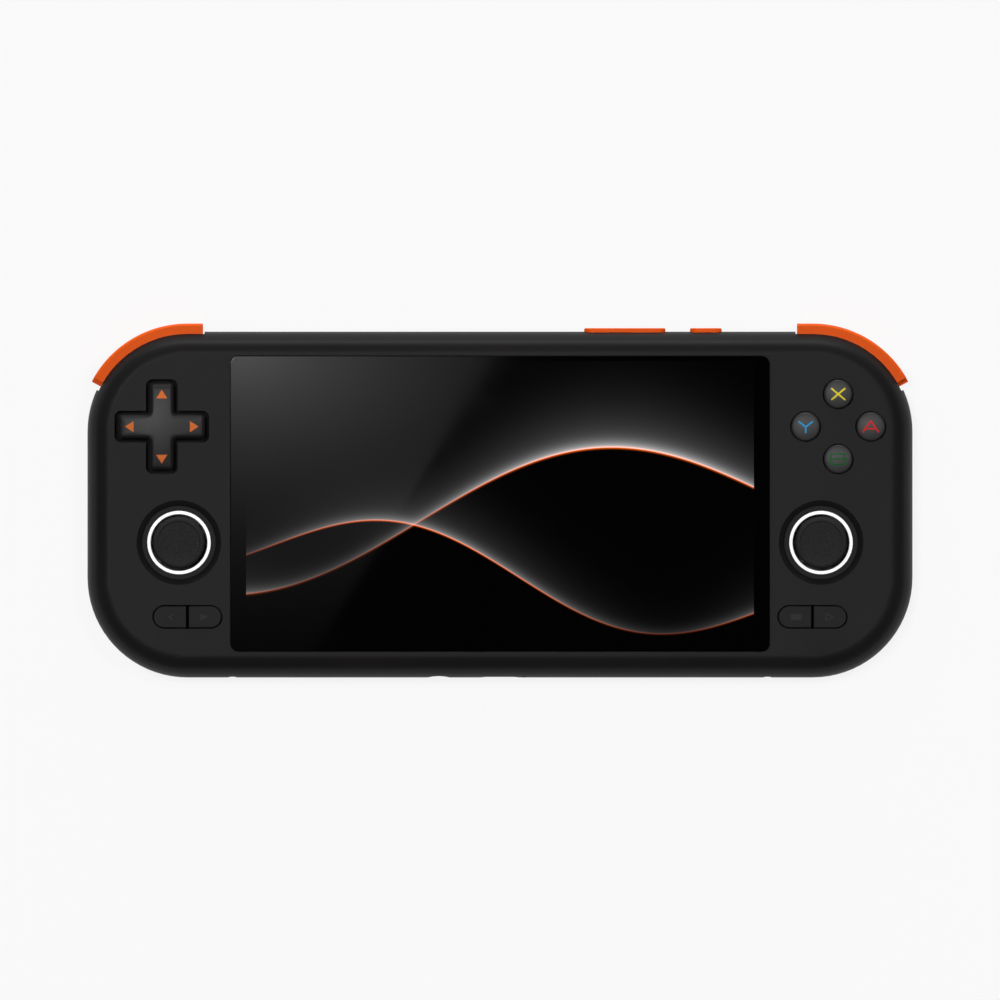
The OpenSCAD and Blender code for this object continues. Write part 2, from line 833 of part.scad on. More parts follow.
// Card reader under the main board
module card_reader() color([0.6, 0.6, 0.62]) {
    difference() {
        translate([-card_x - card_case_w / 2, jack_block_y, board_bot - card_case_t])
            cube([card_case_w, card_len, card_case_t]);
        translate([-card_x - card_w / 2, jack_block_y - over, split_z]) cube([card_w, card_len, card_h]);
    }
}

// Speaker box on the back wall, behind its slot
module speaker(right) {
    on_side(right)
        translate([speaker_slot_x - speaker_shift - speaker_w / 2, -edge_y + rear_inset + flange_gap, wall])
            cube([speaker_w, speaker_d, speaker_t]);
}
module left_speaker() color([0.15, 0.15, 0.16]) speaker(false);
module right_speaker() color([0.15, 0.15, 0.16]) speaker(true);

// Button board of one grip, open round the stick, with a tongue for the bumper's switch
module button_board(right) {
    opening = housing_w + 4 * flange_gap;
    on_side(right) difference() {
        union() {
            translate([stick_x - stick_board_w / 2, stick_board_low, button_bot])
                cube([stick_board_w, stick_board_high - stick_board_low, board_t]);
            translate([cluster_x, cluster_y]) post(cluster_board_r, button_bot, button_top);
            translate([corner_x, corner_y, button_bot]) rotate(switch_angle)
                translate([tongue_root, -tongue_w / 2, 0])
                    cube([plunger_out - tongue_root, tongue_w, board_t]);
        }
        translate([stick_x, stick_y, button_top]) cube([opening, opening, 4 * board_t], center = true);
        translate([case_side_x, 0]) post(rear_post_r + pass_gap, button_bot - over, button_top + over);
        for (spot = board_post_spots)
            translate(spot) post(board_screw_r + play, button_bot - over, button_top + over);
    }
}
module left_button_board() color([0.05, 0.3, 0.18]) button_board(false);
module right_button_board() color([0.05, 0.3, 0.18]) button_board(true);

// Cross key with its flange and the socket for the ball
module dpad() color([0.25, 0.25, 0.26]) {
    translate([-cluster_x, cluster_y, 0]) difference() {
        union() {
            intersection() {
                translate([0, 0, pad_flange_low]) linear_extrude(pad_top - pad_flange_low)
                    cross(pad_span, pad_arm, pad_tip_r);
                rotate_extrude() intersection() {
                    translate([0, pad_top - pad_crown_r]) circle(pad_crown_r, $fn = 360);
                    square([pad_span, pad_top + over]);
                }
            }
            translate([0, 0, pad_flange_low]) linear_extrude(pad_flange_t)
                cross(pad_span + 2 * pad_flange_lap, pad_arm + 2 * pad_flange_lap, opening_tip_r);
            post(pad_hub_r, pad_pivot_z, pad_flange_low + pad_flange_t);
        }
        translate([0, 0, pad_pivot_z]) sphere(ball_r + play);
    }
}

// Steel ball that the cross key rocks on
module dpad_ball() color([0.8, 0.8, 0.82]) {
    translate([-cluster_x, cluster_y, pad_pivot_z]) sphere(ball_r);
}

// Post with the cup that carries the ball
module dpad_post() color([0.3, 0.3, 0.32]) {
    translate([-cluster_x, cluster_y, 0]) difference() {
        post(ball_r + cup_wall, button_top, pad_pivot_z - ball_r / 3);
        translate([0, 0, pad_pivot_z]) sphere(ball_r + play);
    }
}

// Rubber sheet with a pad under each arm of the cross
module dpad_membrane() color([0.45, 0.45, 0.47]) {
    pad_reach = pad_span / 2 + pad_flange_lap;
    pad_high = pad_flange_low - pad_reach * sin(pad_tilt) + play;
    translate([-cluster_x, cluster_y, 0]) difference() {
        union() {
            post(cluster_board_r - 0.6, button_top, button_top + membrane_t);
            for (turn = [0 : 90 : 270])
                rotate(turn) translate([rubber_reach, 0]) post(rubber_r, button_top, pad_high);
        }
        post(ball_r + cup_wall + flange_gap, button_top - over, button_top + membrane_t + over);
    }
}

// One round face key: crowned cap, flange and foot
module face_button(turn) {
    translate([cluster_x, cluster_y]) rotate(turn) translate([face_pitch, 0]) {
        rotate_extrude() {
            intersection() {
                translate([0, flange_top - face_flange_t])
                    square([face_d / 2, face_top - flange_top + face_flange_t]);
                translate([0, face_top - face_crown_r]) circle(face_crown_r, $fn = 96);
            }
            translate([0, face_foot_low]) square([face_foot_r, flange_top - face_foot_low]);
        }
        post(face_d / 2 + face_flange_lap, flange_top - face_flange_t, flange_top);
    }
}
module face_button_right() color([0.24, 0.24, 0.25]) face_button(0);
module face_button_top() color([0.24, 0.24, 0.25]) face_button(90);
module face_button_left() color([0.24, 0.24, 0.25]) face_button(180);
module face_button_bottom() color([0.24, 0.24, 0.25]) face_button(270);

// Rubber sheet with a dome under each face key
module face_membrane() color([0.45, 0.45, 0.47]) {
    translate([cluster_x, cluster_y]) {
        post(cluster_board_r - 0.3, button_top, button_top + membrane_t);
        for (turn = [0 : 90 : 270])
            rotate(turn) translate([face_pitch, 0]) post(face_foot_r + 0.6, button_top, dome_top);
    }
}

// One key of a menu pair: half a pill, with a flange behind the wall and a foot
module menu_key(right, outer) {
    far = menu_w;
    shift = outer ? 1 : -1;
    on_side(right) translate([menu_x, menu_y]) {
        translate([0, 0, flange_top]) linear_extrude(menu_top - flange_top) intersection() {
            menu_outline(-menu_gap);
            translate([outer ? menu_split / 2 : -far - menu_split / 2, -far / 2]) square([far, far]);
        }
        translate([0, 0, flange_top - menu_flange_t]) linear_extrude(menu_flange_t) intersection() {
            menu_outline(menu_flange_lap);
            translate([outer ? menu_split / 2 : -far - menu_split / 2, -far / 2]) square([far, far]);
        }
        translate([shift * menu_w / 4, 0]) post(menu_foot_r, menu_foot_low, flange_top - menu_flange_t);
    }
}
module left_menu_key_outer() color([0.15, 0.15, 0.16]) menu_key(false, true);
module left_menu_key_inner() color([0.15, 0.15, 0.16]) menu_key(false, false);
module right_menu_key_inner() color([0.15, 0.15, 0.16]) menu_key(true, false);
module right_menu_key_outer() color([0.15, 0.15, 0.16]) menu_key(true, true);

// Rubber strip with a column under each menu key
module menu_membrane(right) {
    on_side(right) translate([menu_x, menu_y]) {
        translate([0, 0, button_top]) linear_extrude(membrane_t) pill(menu_w - 1, menu_h);
        for (shift = [-1, 1])
            translate([shift * menu_w / 4, 0]) post(menu_foot_r + 0.5, button_top, menu_dome_top);
    }
}
module left_menu_membrane() color([0.45, 0.45, 0.47]) menu_membrane(false);
module right_menu_membrane() color([0.45, 0.45, 0.47]) menu_membrane(true);

// Light ring in the floor of a stick's well
module stick_ring(right) {
    on_side(right) translate([stick_x, stick_y]) difference() {
        union() {
            post(ring_d / 2, housing_top, floor_top);
            post(ring_d / 2 + ring_flange_lap, housing_top, housing_top + ring_flange_t);
        }
        post(ring_d / 2 - ring_w, housing_top - over, floor_top + over);
    }
}
module left_stick_ring() color([0.95, 0.95, 0.95]) stick_ring(false);
module right_stick_ring() color([0.95, 0.95, 0.95]) stick_ring(true);

// Housing of a stick: a box with bearing holes for the yoke and ears that stand on the board
module stick_housing(right) {
    inner = housing_w - 2 * housing_wall;
    ear = housing_w / 2 + 1.5;
    on_side(right) translate([stick_x, stick_y]) difference() {
        union() {
            translate([-housing_w / 2, -housing_w / 2, housing_low])
                cube([housing_w, housing_w, housing_top - housing_low]);
            translate([-ear, -4, button_top]) cube([2 * ear, 8, 0.8]);
        }
        translate([-inner / 2, -inner / 2, housing_low + housing_roof])
            cube([inner, inner, housing_top - housing_low - 2 * housing_roof]);
        post(housing_hole_r, housing_top - 2 * housing_roof, housing_top + over);
        translate([0, 0, pivot_z]) rotate([0, 90, 0])
            cylinder(r = yoke_pin_r + play, h = housing_w + 2 * over, center = true);
    }
}
module left_stick_housing() color([0.3, 0.3, 0.32]) stick_housing(false);
module right_stick_housing() color([0.3, 0.3, 0.32]) stick_housing(true);

// Yoke of a stick: a square ring on two pins along X
module stick_yoke(right) {
    reach = housing_w / 2 - 0.1;
    on_side(right) translate([stick_x, stick_y, pivot_z]) difference() {
        union() {
            cube([yoke_w, yoke_w, yoke_t], center = true);
            rotate([0, 90, 0]) cylinder(r = yoke_pin_r, h = 2 * reach, center = true);
        }
        cube([yoke_hole, yoke_hole, yoke_t + over], center = true);
        rotate([90, 0, 0]) cylinder(r = trunnion_pin_r + play, h = yoke_w + over, center = true);
    }
}
module left_stick_yoke() color([0.82, 0.82, 0.8]) stick_yoke(false);
module right_stick_yoke() color([0.82, 0.82, 0.8]) stick_yoke(true);

// Trunnion of a stick: a ball on two pins along Y, bored for the shaft
module stick_trunnion(right) {
    on_side(right) translate([stick_x, stick_y, pivot_z]) difference() {
        union() {
            sphere(trunnion_r);
            rotate([90, 0, 0]) cylinder(r = trunnion_pin_r, h = yoke_w - 0.2, center = true);
        }
        cylinder(r = shaft_r + play, h = 4 * trunnion_r, center = true);
    }
}
module left_stick_trunnion() color([0.82, 0.82, 0.8]) stick_trunnion(false);
module right_stick_trunnion() color([0.82, 0.82, 0.8]) stick_trunnion(true);

// Shaft of a stick, with the foot that presses its switch
module stick_shaft(right) {
    on_side(right) translate([stick_x, stick_y]) {
        post(shaft_r, shaft_low, shaft_top);
        post(foot_r, shaft_low, shaft_low + foot_t);
    }
}
module left_stick_shaft() color([0.7, 0.7, 0.72]) stick_shaft(false);
module right_stick_shaft() color([0.7, 0.7, 0.72]) stick_shaft(true);

// Thumb cap of a stick: dished top, hub round the shaft and a domed skirt round the pivot
module stick_cap(right) {
    cap_r = cap_d / 2;
    on_side(right) translate([stick_x, stick_y]) difference() {
        union() {
            rotate_extrude() difference() {
                translate([0, cap_low]) square([cap_r, cap_rim]);
                translate([0, cap_top - dish_deep + dish_ball_r]) circle(dish_ball_r, $fn = 128);
            }
            post(cap_hub_r, pivot_z + skirt_r - skirt_t / 2, cap_low + over / 2);
            translate([0, 0, pivot_z]) rotate_extrude() intersection() {
                difference() {
                    circle(skirt_r);
                    circle(skirt_r - skirt_t);
                }
                polygon([[0, 0], 2 * skirt_r * [sin(skirt_angle), cos(skirt_angle)], [0, 2 * skirt_r]]);
            }
        }
        post(shaft_r + play, pivot_z, shaft_top);
    }
}
module left_stick_cap() color([0.14, 0.14, 0.15]) stick_cap(false);
module right_stick_cap() color([0.14, 0.14, 0.15]) stick_cap(true);

// Arm of a shoulder key, from its hub on the pin to its band
module shoulder_arm(low, high) {
    run = hinge_in - band_gap;
    translate([hinge_x, hinge_y]) post(hub_r, low, high);
    translate([hinge_x, hinge_y - arm_w / 2, low]) cube([run, arm_w, high - low]);
    translate([hinge_x + run - arm_w, hinge_y - arm_w / 2, low])
        cube([arm_w, corner_y + band_in - hinge_y + arm_w / 2 + arm_lap, high - low]);
}

// Bumper: the upper shoulder key, with a rib for its switch
module bumper(right) {
    edge = 0.5;
    on_side(right) difference() {
        union() {
            shoulder_band(shoulder_lead, bumper_sweep)
                polygon([[band_in, bumper_low], [band_out, bumper_low], [band_out, bumper_high - edge],
                    [band_out - edge, bumper_high], [band_in, bumper_high]]);
            shoulder_arm(bumper_hub_low, bumper_hub_high);
            translate([corner_x, corner_y, bumper_hub_high - switch_h]) rotate(switch_angle)
                translate([band_in - nose_t / 2, -nose_w / 2, 0]) cube([nose_t, nose_w, switch_h]);
        }
        translate([hinge_x, hinge_y]) post(pin_r + play, bumper_low - over, bumper_high + over);
    }
}
module left_bumper() color([0.91, 0.36, 0.07]) bumper(false);
module right_bumper() color([0.91, 0.36, 0.07]) bumper(true);

// Trigger: the lower shoulder key, drawn in towards the back
module trigger(right) {
    taper = 1.2;
    on_side(right) difference() {
        union() {
            shoulder_band(shoulder_lead, trigger_sweep)
                polygon([[band_in, trigger_low], [band_out - taper, trigger_low],
                    [band_out, trigger_low + 2 * taper], [band_out, trigger_high], [band_in, trigger_high]]);
            shoulder_arm(trigger_hub_low, trigger_hub_low + trigger_hub_t);
        }
        translate([hinge_x, hinge_y]) post(pin_r + play, trigger_low - over, trigger_high + over);
    }
}
module left_trigger() color([0.8, 0.3, 0.06]) trigger(false);
module right_trigger() color([0.8, 0.3, 0.06]) trigger(true);

// Hinge pin of both shoulder keys
module shoulder_pin(right) {
    on_side(right) translate([hinge_x, hinge_y]) post(pin_r, pin_low, pin_high);
}
module left_shoulder_pin() color([0.75, 0.75, 0.77]) shoulder_pin(false);
module right_shoulder_pin() color([0.75, 0.75, 0.77]) shoulder_pin(true);

// Body of the trigger's coil spring, on the pin between the two hubs
module trigger_spring(right) {
    low = trigger_hub_low + trigger_hub_t + 0.1;
    high = bumper_hub_low - 0.2;
    bore = pin_r + 0.15;
    on_side(right) translate([hinge_x, hinge_y]) difference() {
        post(bore + spring_wall, low, high);
        post(bore, low - over, high + over);
    }
}
module left_trigger_spring() color([0.65, 0.65, 0.67]) trigger_spring(false);
module right_trigger_spring() color([0.65, 0.65, 0.67]) trigger_spring(true);

// Switch behind the bumper's rib
module bumper_switch(right) {
    on_side(right) translate([corner_x, corner_y, button_top]) rotate(switch_angle) {
        translate([switch_in, -switch_w / 2, 0]) cube([switch_out - switch_in, switch_w, switch_h]);
        translate([switch_out - 0.1, -1, 0.5]) cube([plunger_out - switch_out + 0.1, 2, 1]);
    }
}
module left_bumper_switch() color([0.2, 0.2, 0.2]) bumper_switch(false);
module right_bumper_switch() color([0.2, 0.2, 0.2]) bumper_switch(true);

// Sensors under the button boards that read the triggers
module trigger_sensors() color([0.12, 0.12, 0.12]) {
    for (right = [false, true]) on_side(right)
        translate([corner_x, corner_y, button_bot - sensor_t]) rotate(switch_angle)
            translate([switch_in, -sensor_w / 2, 0]) cube([sensor_w, sensor_w, sensor_t]);
}

// Key on the top edge: a bar with round ends and a flange inside the wall
module top_key(x, w) {
    translate([x, 0, 0]) {
        along_y(key_flange_low, edge_y + top_key_proud) top_key_outline(w, 0);
        along_y(key_flange_low, key_flange_top) top_key_outline(w, key_flange_lap);
    }
}
module volume_key() color([0.8, 0.34, 0.12]) top_key(volume_x, volume_w);
module power_key() color([0.8, 0.34, 0.12]) top_key(power_x, power_w);

// Board behind the top keys, with two switches for the volume key and one for the power key
module side_key_board() color([0.05, 0.3, 0.18]) {
    left = volume_x - volume_w / 2;
    right = power_x + power_w / 2;
    translate([left, key_board_low, split_z - key_board_h / 2])
        cube([right - left, key_board_top - key_board_low, key_board_h]);
    for (spot = [[volume_x - volume_w / 3, switch_gap], [volume_x + volume_w / 3, switch_gap],
            [power_x, power_travel + flange_gap]])
        translate([spot[0] - 1, key_board_top - 0.1, split_z - 1])
            cube([2, key_flange_low - spot[1] - key_board_top + 0.1, 2]);
}

// Screws that hold the two shells together
module case_screws() color([0.3, 0.3, 0.32]) {
    at_case_spots() translate([0, 0, case_seat_z])
        screw(case_screw_r, case_screw_len, case_head_r, case_head_t);
}

// Screws of the button boards, the frame and the main board
module board_screws() color([0.75, 0.75, 0.77]) {
    at_board_posts() translate([0, 0, button_bot])
        screw(board_screw_r, board_screw_len, board_head_r, board_head_t);
    at_frame_ears() translate([0, 0, frame_bot])
        screw(board_screw_r, board_screw_len, board_head_r, board_head_t);
    for (spot = standoff_spots) translate(spot) translate([0, 0, board_bot])
        screw(board_screw_r, board_screw_len, board_head_r, board_head_t);
}

front_shell();
rear_shell();
screen_glass();
display_panel();
mid_frame();
main_board();
shield_can();
heat_spreader();
battery();
usb_port();
headphone_jack();
card_reader();
left_speaker();
right_speaker();
left_button_board();
right_button_board();
dpad();
dpad_ball();
dpad_post();
dpad_membrane();
face_button_top();
face_button_left();
face_button_right();
face_button_bottom();
face_membrane();
left_menu_key_outer();
left_menu_key_inner();
right_menu_key_inner();
right_menu_key_outer();
left_menu_membrane();
right_menu_membrane();
left_stick_ring();
right_stick_ring();
left_stick_housing();
right_stick_housing();
left_stick_yoke();
right_stick_yoke();
left_stick_trunnion();
right_stick_trunnion();
left_stick_shaft();
right_stick_shaft();
left_stick_cap();
right_stick_cap();
left_bumper();
right_bumper();
left_trigger();
right_trigger();
left_shoulder_pin();
right_shoulder_pin();
left_trigger_spring();
right_trigger_spring();
left_bumper_switch();
right_bumper_switch();
trigger_sensors();
volume_key();
power_key();
side_key_board();
case_screws();
board_screws();
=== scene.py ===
"""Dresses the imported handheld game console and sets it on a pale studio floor.

Lengths in this file are in millimetres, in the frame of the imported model. They turn to metres where
Blender takes them.
"""

import logging
import math
from dataclasses import dataclass, field
from enum import Enum
from typing import Any, Callable, Sequence

import bpy
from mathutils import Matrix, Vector
from mathutils.geometry import delaunay_2d_cdt


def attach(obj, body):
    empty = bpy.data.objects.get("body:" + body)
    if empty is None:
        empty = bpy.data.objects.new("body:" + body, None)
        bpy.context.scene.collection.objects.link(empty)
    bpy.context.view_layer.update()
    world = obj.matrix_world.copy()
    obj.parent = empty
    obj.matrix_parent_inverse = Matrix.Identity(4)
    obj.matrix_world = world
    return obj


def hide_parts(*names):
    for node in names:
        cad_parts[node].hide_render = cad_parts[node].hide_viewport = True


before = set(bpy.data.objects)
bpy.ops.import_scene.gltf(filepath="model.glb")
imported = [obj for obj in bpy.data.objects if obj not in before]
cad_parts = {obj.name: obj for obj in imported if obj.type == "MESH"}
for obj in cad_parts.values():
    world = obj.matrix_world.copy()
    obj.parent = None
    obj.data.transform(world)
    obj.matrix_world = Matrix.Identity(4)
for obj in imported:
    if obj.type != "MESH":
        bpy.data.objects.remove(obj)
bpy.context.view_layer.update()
LOG = logging.getLogger("console")
MM = 0.001
# Outlines are filled with triangles on their inside only, and points nearer than these joins become one.
INSIDE = 1
FILM_JOIN = 1e-5
SKIN_JOIN = 1e-6
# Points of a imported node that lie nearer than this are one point, in millimetres.
WELD_MM = 0.002

Flat = tuple[float, float]
Spot = tuple[float, float, float]
Colour = tuple[float, float, float, float]
Height = Callable[[float, float], float]


def linear(code: str) -> Colour:
    """Turn an sRGB hex colour into linear light.

    Args:
        code: A hash and six hex digits.

    Returns:
        Linear red, green and blue, with full alpha.
    """
    shares = [int(code[k:k + 2], 16) / 255 for k in (1, 3, 5)]
    red, green, blue = (c / 12.92 if c <= 0.04045 else ((c + 0.055) / 1.055) ** 2.4 for c in shares)
    return red, green, blue, 1.0


def scaled(colour: Colour, share: float) -> Colour:
    """Return a linear colour made paler or darker, with full alpha."""
    red, green, blue = (min(1.0, c * share) for c in colour[:3])
    return red, green, blue, 1.0


def feed(tree: bpy.types.NodeTree, node: bpy.types.Node, inputs: dict[Any, Any]) -> None:
    """Set or link the inputs of a node.

    Args:
        tree: The node's tree.
        node: The node.
        inputs: Values, or sockets to link from, by input name or number.
    """
    for key, value in inputs.items():
        if isinstance(value, bpy.types.NodeSocket):
            tree.links.new(value, node.inputs[key])
        else:
            node.inputs[key].default_value = value


def add_node(tree: bpy.types.NodeTree, kind: str, inputs: dict[Any, Any] | None = None,
             stops: Sequence[tuple[float, Colour]] = (), **settings: Any) -> bpy.types.Node:
    """Add one node with its settings and links.

    Args:
        tree: The node tree that gets it.
        kind: Blender's name of the node type.
        inputs: Values, or sockets to link from, by input name or number.
        stops: Places and colours of a colour ramp's two stops.
        settings: The node's own properties.

    Returns:
        The new node.
    """
    node = tree.nodes.new(kind)
    for key, value in settings.items():
        setattr(node, key, value)
    for k, (place, colour) in enumerate(stops):
        stop = node.color_ramp.elements[k]
        stop.position = place
        stop.color = colour
    feed(tree, node, inputs or {})
    return node


def blank_material(name: str) -> bpy.types.Material:
    """Make a material with an empty node tree.

    Args:
        name: The material's name.

    Returns:
        The material.
    """
    made = bpy.data.materials.new(name)
    made.use_nodes = True
    made.node_tree.nodes.clear()
    return made


def show(name: str, data: bpy.types.ID) -> bpy.types.Object:
    """Put a new object into the scene.

    Args:
        name: The object's name.
        data: Its mesh, light or camera.

    Returns:
        The object.
    """
    made = bpy.data.objects.new(name, data)
    bpy.context.scene.collection.objects.link(made)
    return made


class Side(Enum):
    """The grip that a piece belongs to, with its sign along X."""

    LEFT = -1
    RIGHT = 1

    @property
    def word(self) -> str:
        """The side's word in node and body names."""
        return self.name.lower()


@dataclass(frozen=True)
class Finish:
    """A surface finish, and the one material that is made from it."""

    name: str

    def material(self) -> bpy.types.Material:
        """Give the finish's material, which is made at its first use.

        Returns:
            The material.
        """
        if self.name in bpy.data.materials:
            return bpy.data.materials[self.name]
        made = blank_material(self.name)
        tree = made.node_tree
        shader = add_node(tree, "ShaderNodeBsdfPrincipled")
        add_node(tree, "ShaderNodeOutputMaterial", {"Surface": shader.outputs["BSDF"]})
        place = add_node(tree, "ShaderNodeTexCoord").outputs["Object"]
        self.dress(tree, shader, place)
        return made

    def dress(self, tree: bpy.types.NodeTree, shader: bpy.types.Node, place: bpy.types.NodeSocket) -> None:
        """Add the finish's own nodes; each kind of finish has its own.

        Args:
            tree: The material's node tree.
            shader: Its surface shader.
            place: Object coordinates, in metres.
        """
        raise NotImplementedError


@dataclass(frozen=True)
class MouldedPlastic(Finish):
    """Plastic as it leaves a spark-eroded tool or a film line: an even fine grit and broad highlights."""

    tone: str
    shade: str
    roughness: float
    grit_mm: float
    grit_depth_mm: float
    specular: float
    cloud_mm: float = 22.0
    cloud_stops: Flat = (0.3, 0.7)
    gloss_spread: float = 0.06
    grit_bump: float = 0.7
    ior: float = 1.5

    def dress(self, tree: bpy.types.NodeTree, shader: bpy.types.Node, place: bpy.types.NodeSocket) -> None:
        """Cloud the colour slightly and raise the grit of the tool.

        Args:
            tree: The material's node tree.
            shader: Its surface shader.
            place: Object coordinates, in metres.
        """
        grit = add_node(tree, "ShaderNodeTexNoise", {
            "Vector": place, "Scale": 1 / (self.grit_mm * MM), "Detail": 2.0, "Roughness": 0.6})
        cloud = add_node(tree, "ShaderNodeTexNoise", {
            "Vector": place, "Scale": 1 / (self.cloud_mm * MM), "Detail": 3.0})
        colour = add_node(tree, "ShaderNodeValToRGB", {"Fac": cloud.outputs["Fac"]},
                          stops=[*zip(self.cloud_stops, (linear(self.shade), linear(self.tone)))])
        gloss = add_node(tree, "ShaderNodeMapRange", {
            "Value": grit.outputs["Fac"], "To Min": self.roughness - self.gloss_spread,
            "To Max": self.roughness + self.gloss_spread})
        bump = add_node(tree, "ShaderNodeBump", {
            "Height": grit.outputs["Fac"], "Strength": self.grit_bump, "Distance": self.grit_depth_mm * MM})
        feed(tree, shader, {
            "Base Color": colour.outputs["Color"], "Roughness": gloss.outputs["Result"],
            "Normal": bump.outputs["Normal"], "IOR": self.ior, "Specular IOR Level": self.specular})


@dataclass(frozen=True)
class CastRubber(Finish):
    """Silicone rubber, compression moulded: a dull skin with a stipple of small pimples."""

    tone: str
    roughness: float
    stipple_mm: float
    depth_mm: float
    dust: float = 1.5
    dust_stops: Flat = (0.15, 0.8)
    stipple_bump: float = 0.6
    ior: float = 1.41
    specular: float = 0.08

    def dress(self, tree: bpy.types.NodeTree, shader: bpy.types.Node, place: bpy.types.NodeSocket) -> None:
        """Raise the stipple and let dust grey the hollows a little.

        Args:
            tree: The material's node tree.
            shader: Its surface shader.
            place: Object coordinates, in metres.
        """
        stipple = add_node(tree, "ShaderNodeTexVoronoi", {
            "Vector": place, "Scale": 1 / (self.stipple_mm * MM), "Randomness": 0.7})
        base = linear(self.tone)
        colour = add_node(tree, "ShaderNodeValToRGB", {"Fac": stipple.outputs["Distance"]},
                          stops=[*zip(self.dust_stops, (base, scaled(base, self.dust)))])
        bump = add_node(tree, "ShaderNodeBump", {
            "Height": stipple.outputs["Distance"], "Strength": self.stipple_bump,
            "Distance": self.depth_mm * MM}, invert=True)
        feed(tree, shader, {
            "Base Color": colour.outputs["Color"], "Normal": bump.outputs["Normal"],
            "Roughness": self.roughness, "IOR": self.ior, "Specular IOR Level": self.specular})


@dataclass(frozen=True)
class WorkedMetal(Finish):
    """Steel, copper or aluminium as rolled, ground or cast: fine marks, mostly one way, over a soft sheen."""

    tone: str
    roughness: float
    mark_mm: Spot
    depth_mm: float
    dulling: float = 0.82
    mark_stops: Flat = (0.35, 0.65)
    gloss_spread: float = 0.08
    mark_bump: float = 0.4

    def dress(self, tree: bpy.types.NodeTree, shader: bpy.types.Node, place: bpy.types.NodeSocket) -> None:
        """Draw the marks of the rolls or the mould, stretched as the metal was.

        Args:
            tree: The material's node tree.
            shader: Its surface shader.
            place: Object coordinates, in metres.
        """
        scale = tuple(1 / (size * MM) for size in self.mark_mm)
        spread = add_node(tree, "ShaderNodeMapping", {"Vector": place, "Scale": scale})
        marks = add_node(tree, "ShaderNodeTexNoise", {
            "Vector": spread.outputs["Vector"], "Scale": 1.0, "Detail": 4.0})
        base = linear(self.tone)
        colour = add_node(tree, "ShaderNodeValToRGB", {"Fac": marks.outputs["Fac"]},
                          stops=[*zip(self.mark_stops, (scaled(base, self.dulling), base))])
        gloss = add_node(tree, "ShaderNodeMapRange", {
            "Value": marks.outputs["Fac"], "To Min": self.roughness - self.gloss_spread,
            "To Max": self.roughness + self.gloss_spread})
        bump = add_node(tree, "ShaderNodeBump", {
            "Height": marks.outputs["Fac"], "Strength": self.mark_bump, "Distance": self.depth_mm * MM})
        feed(tree, shader, {
            "Base Color": colour.outputs["Color"], "Roughness": gloss.outputs["Result"],
            "Normal": bump.outputs["Normal"], "Metallic": 1.0})


@dataclass(frozen=True)
class SolderMask(Finish):
    """Glass-epoxy board under a green solder mask: copper runs show as slightly paler raised bands."""

    tone: str
    run_tone: str
    run_mm: float
    pitch_runs: float = 8.0
    run_share: float = 0.03
    copper_mm: float = 0.035
    run_bump: float = 0.5
    roughness: float = 0.35

    def dress(self, tree: bpy.types.NodeTree, shader: bpy.types.Node, place: bpy.types.NodeSocket) -> None:
        """Lay the copper runs out as bricks of run and gap.

        Args:
            tree: The material's node tree.
            shader: Its surface shader.
            place: Object coordinates, in metres.
        """
        runs = add_node(tree, "ShaderNodeTexBrick", {
            "Vector": place, "Scale": 1 / (self.run_mm * self.pitch_runs * MM), "Mortar Size": self.run_share,
            "Color1": linear(self.tone), "Color2": linear(self.tone), "Mortar": linear(self.run_tone)})
        bump = add_node(tree, "ShaderNodeBump", {
            "Height": runs.outputs["Fac"], "Strength": self.run_bump, "Distance": self.copper_mm * MM})
        feed(tree, shader, {"Base Color": runs.outputs["Color"], "Normal": bump.outputs["Normal"],
                            "Roughness": self.roughness})


@dataclass(frozen=True)
class PrintedInk(Finish):
    """Pad-printed two-part ink: a dense matt film with a faint screen of pinholes."""

    tone: str
    roughness: float = 0.55
    pinhole_mm: float = 0.3
    pinhole_stops: Flat = (0.25, 0.5)
    thinning: float = 0.8
    specular: float = 0.1

    def dress(self, tree: bpy.types.NodeTree, shader: bpy.types.Node, place: bpy.types.NodeSocket) -> None:
        """Thin the film a little where it has pinholes.

        Args:
            tree: The material's node tree.
            shader: Its surface shader.
            place: Object coordinates, in metres.
        """
        pinholes = add_node(tree, "ShaderNodeTexNoise", {
            "Vector": place, "Scale": 1 / (self.pinhole_mm * MM), "Detail": 1.0})
        full = linear(self.tone)
        colour = add_node(tree, "ShaderNodeValToRGB", {"Fac": pinholes.outputs["Fac"]},
                          stops=[*zip(self.pinhole_stops, (scaled(full, self.thinning), full))])
        feed(tree, shader, {"Base Color": colour.outputs["Color"], "Roughness": self.roughness,
                            "Specular IOR Level": self.specular})


@dataclass(frozen=True)
class LitGuide(Finish):
    """Opal polycarbonate with white lamps behind it: it shines evenly, a trace dimmer between lamps."""

    tone: str
    dim: str
    unlit: str
    lamp_mm: float
    strength: float
    swell_stops: Flat = (0.35, 0.6)
    roughness: float = 0.35

    def dress(self, tree: bpy.types.NodeTree, shader: bpy.types.Node, place: bpy.types.NodeSocket) -> None:
        """Let the light swell and fade a little from lamp to lamp.

        Args:
            tree: The material's node tree.
            shader: Its surface shader.
            place: Object coordinates, in metres.
        """
        swell = add_node(tree, "ShaderNodeTexNoise", {
            "Vector": place, "Scale": 1 / (self.lamp_mm * MM), "Detail": 0.0})
        colour = add_node(tree, "ShaderNodeValToRGB", {"Fac": swell.outputs["Fac"]},
                          stops=[*zip(self.swell_stops, (linear(self.dim), linear(self.tone)))])
        feed(tree, shader, {
            "Emission Color": colour.outputs["Color"], "Emission Strength": self.strength,
            "Base Color": linear(self.unlit), "Roughness": self.roughness})


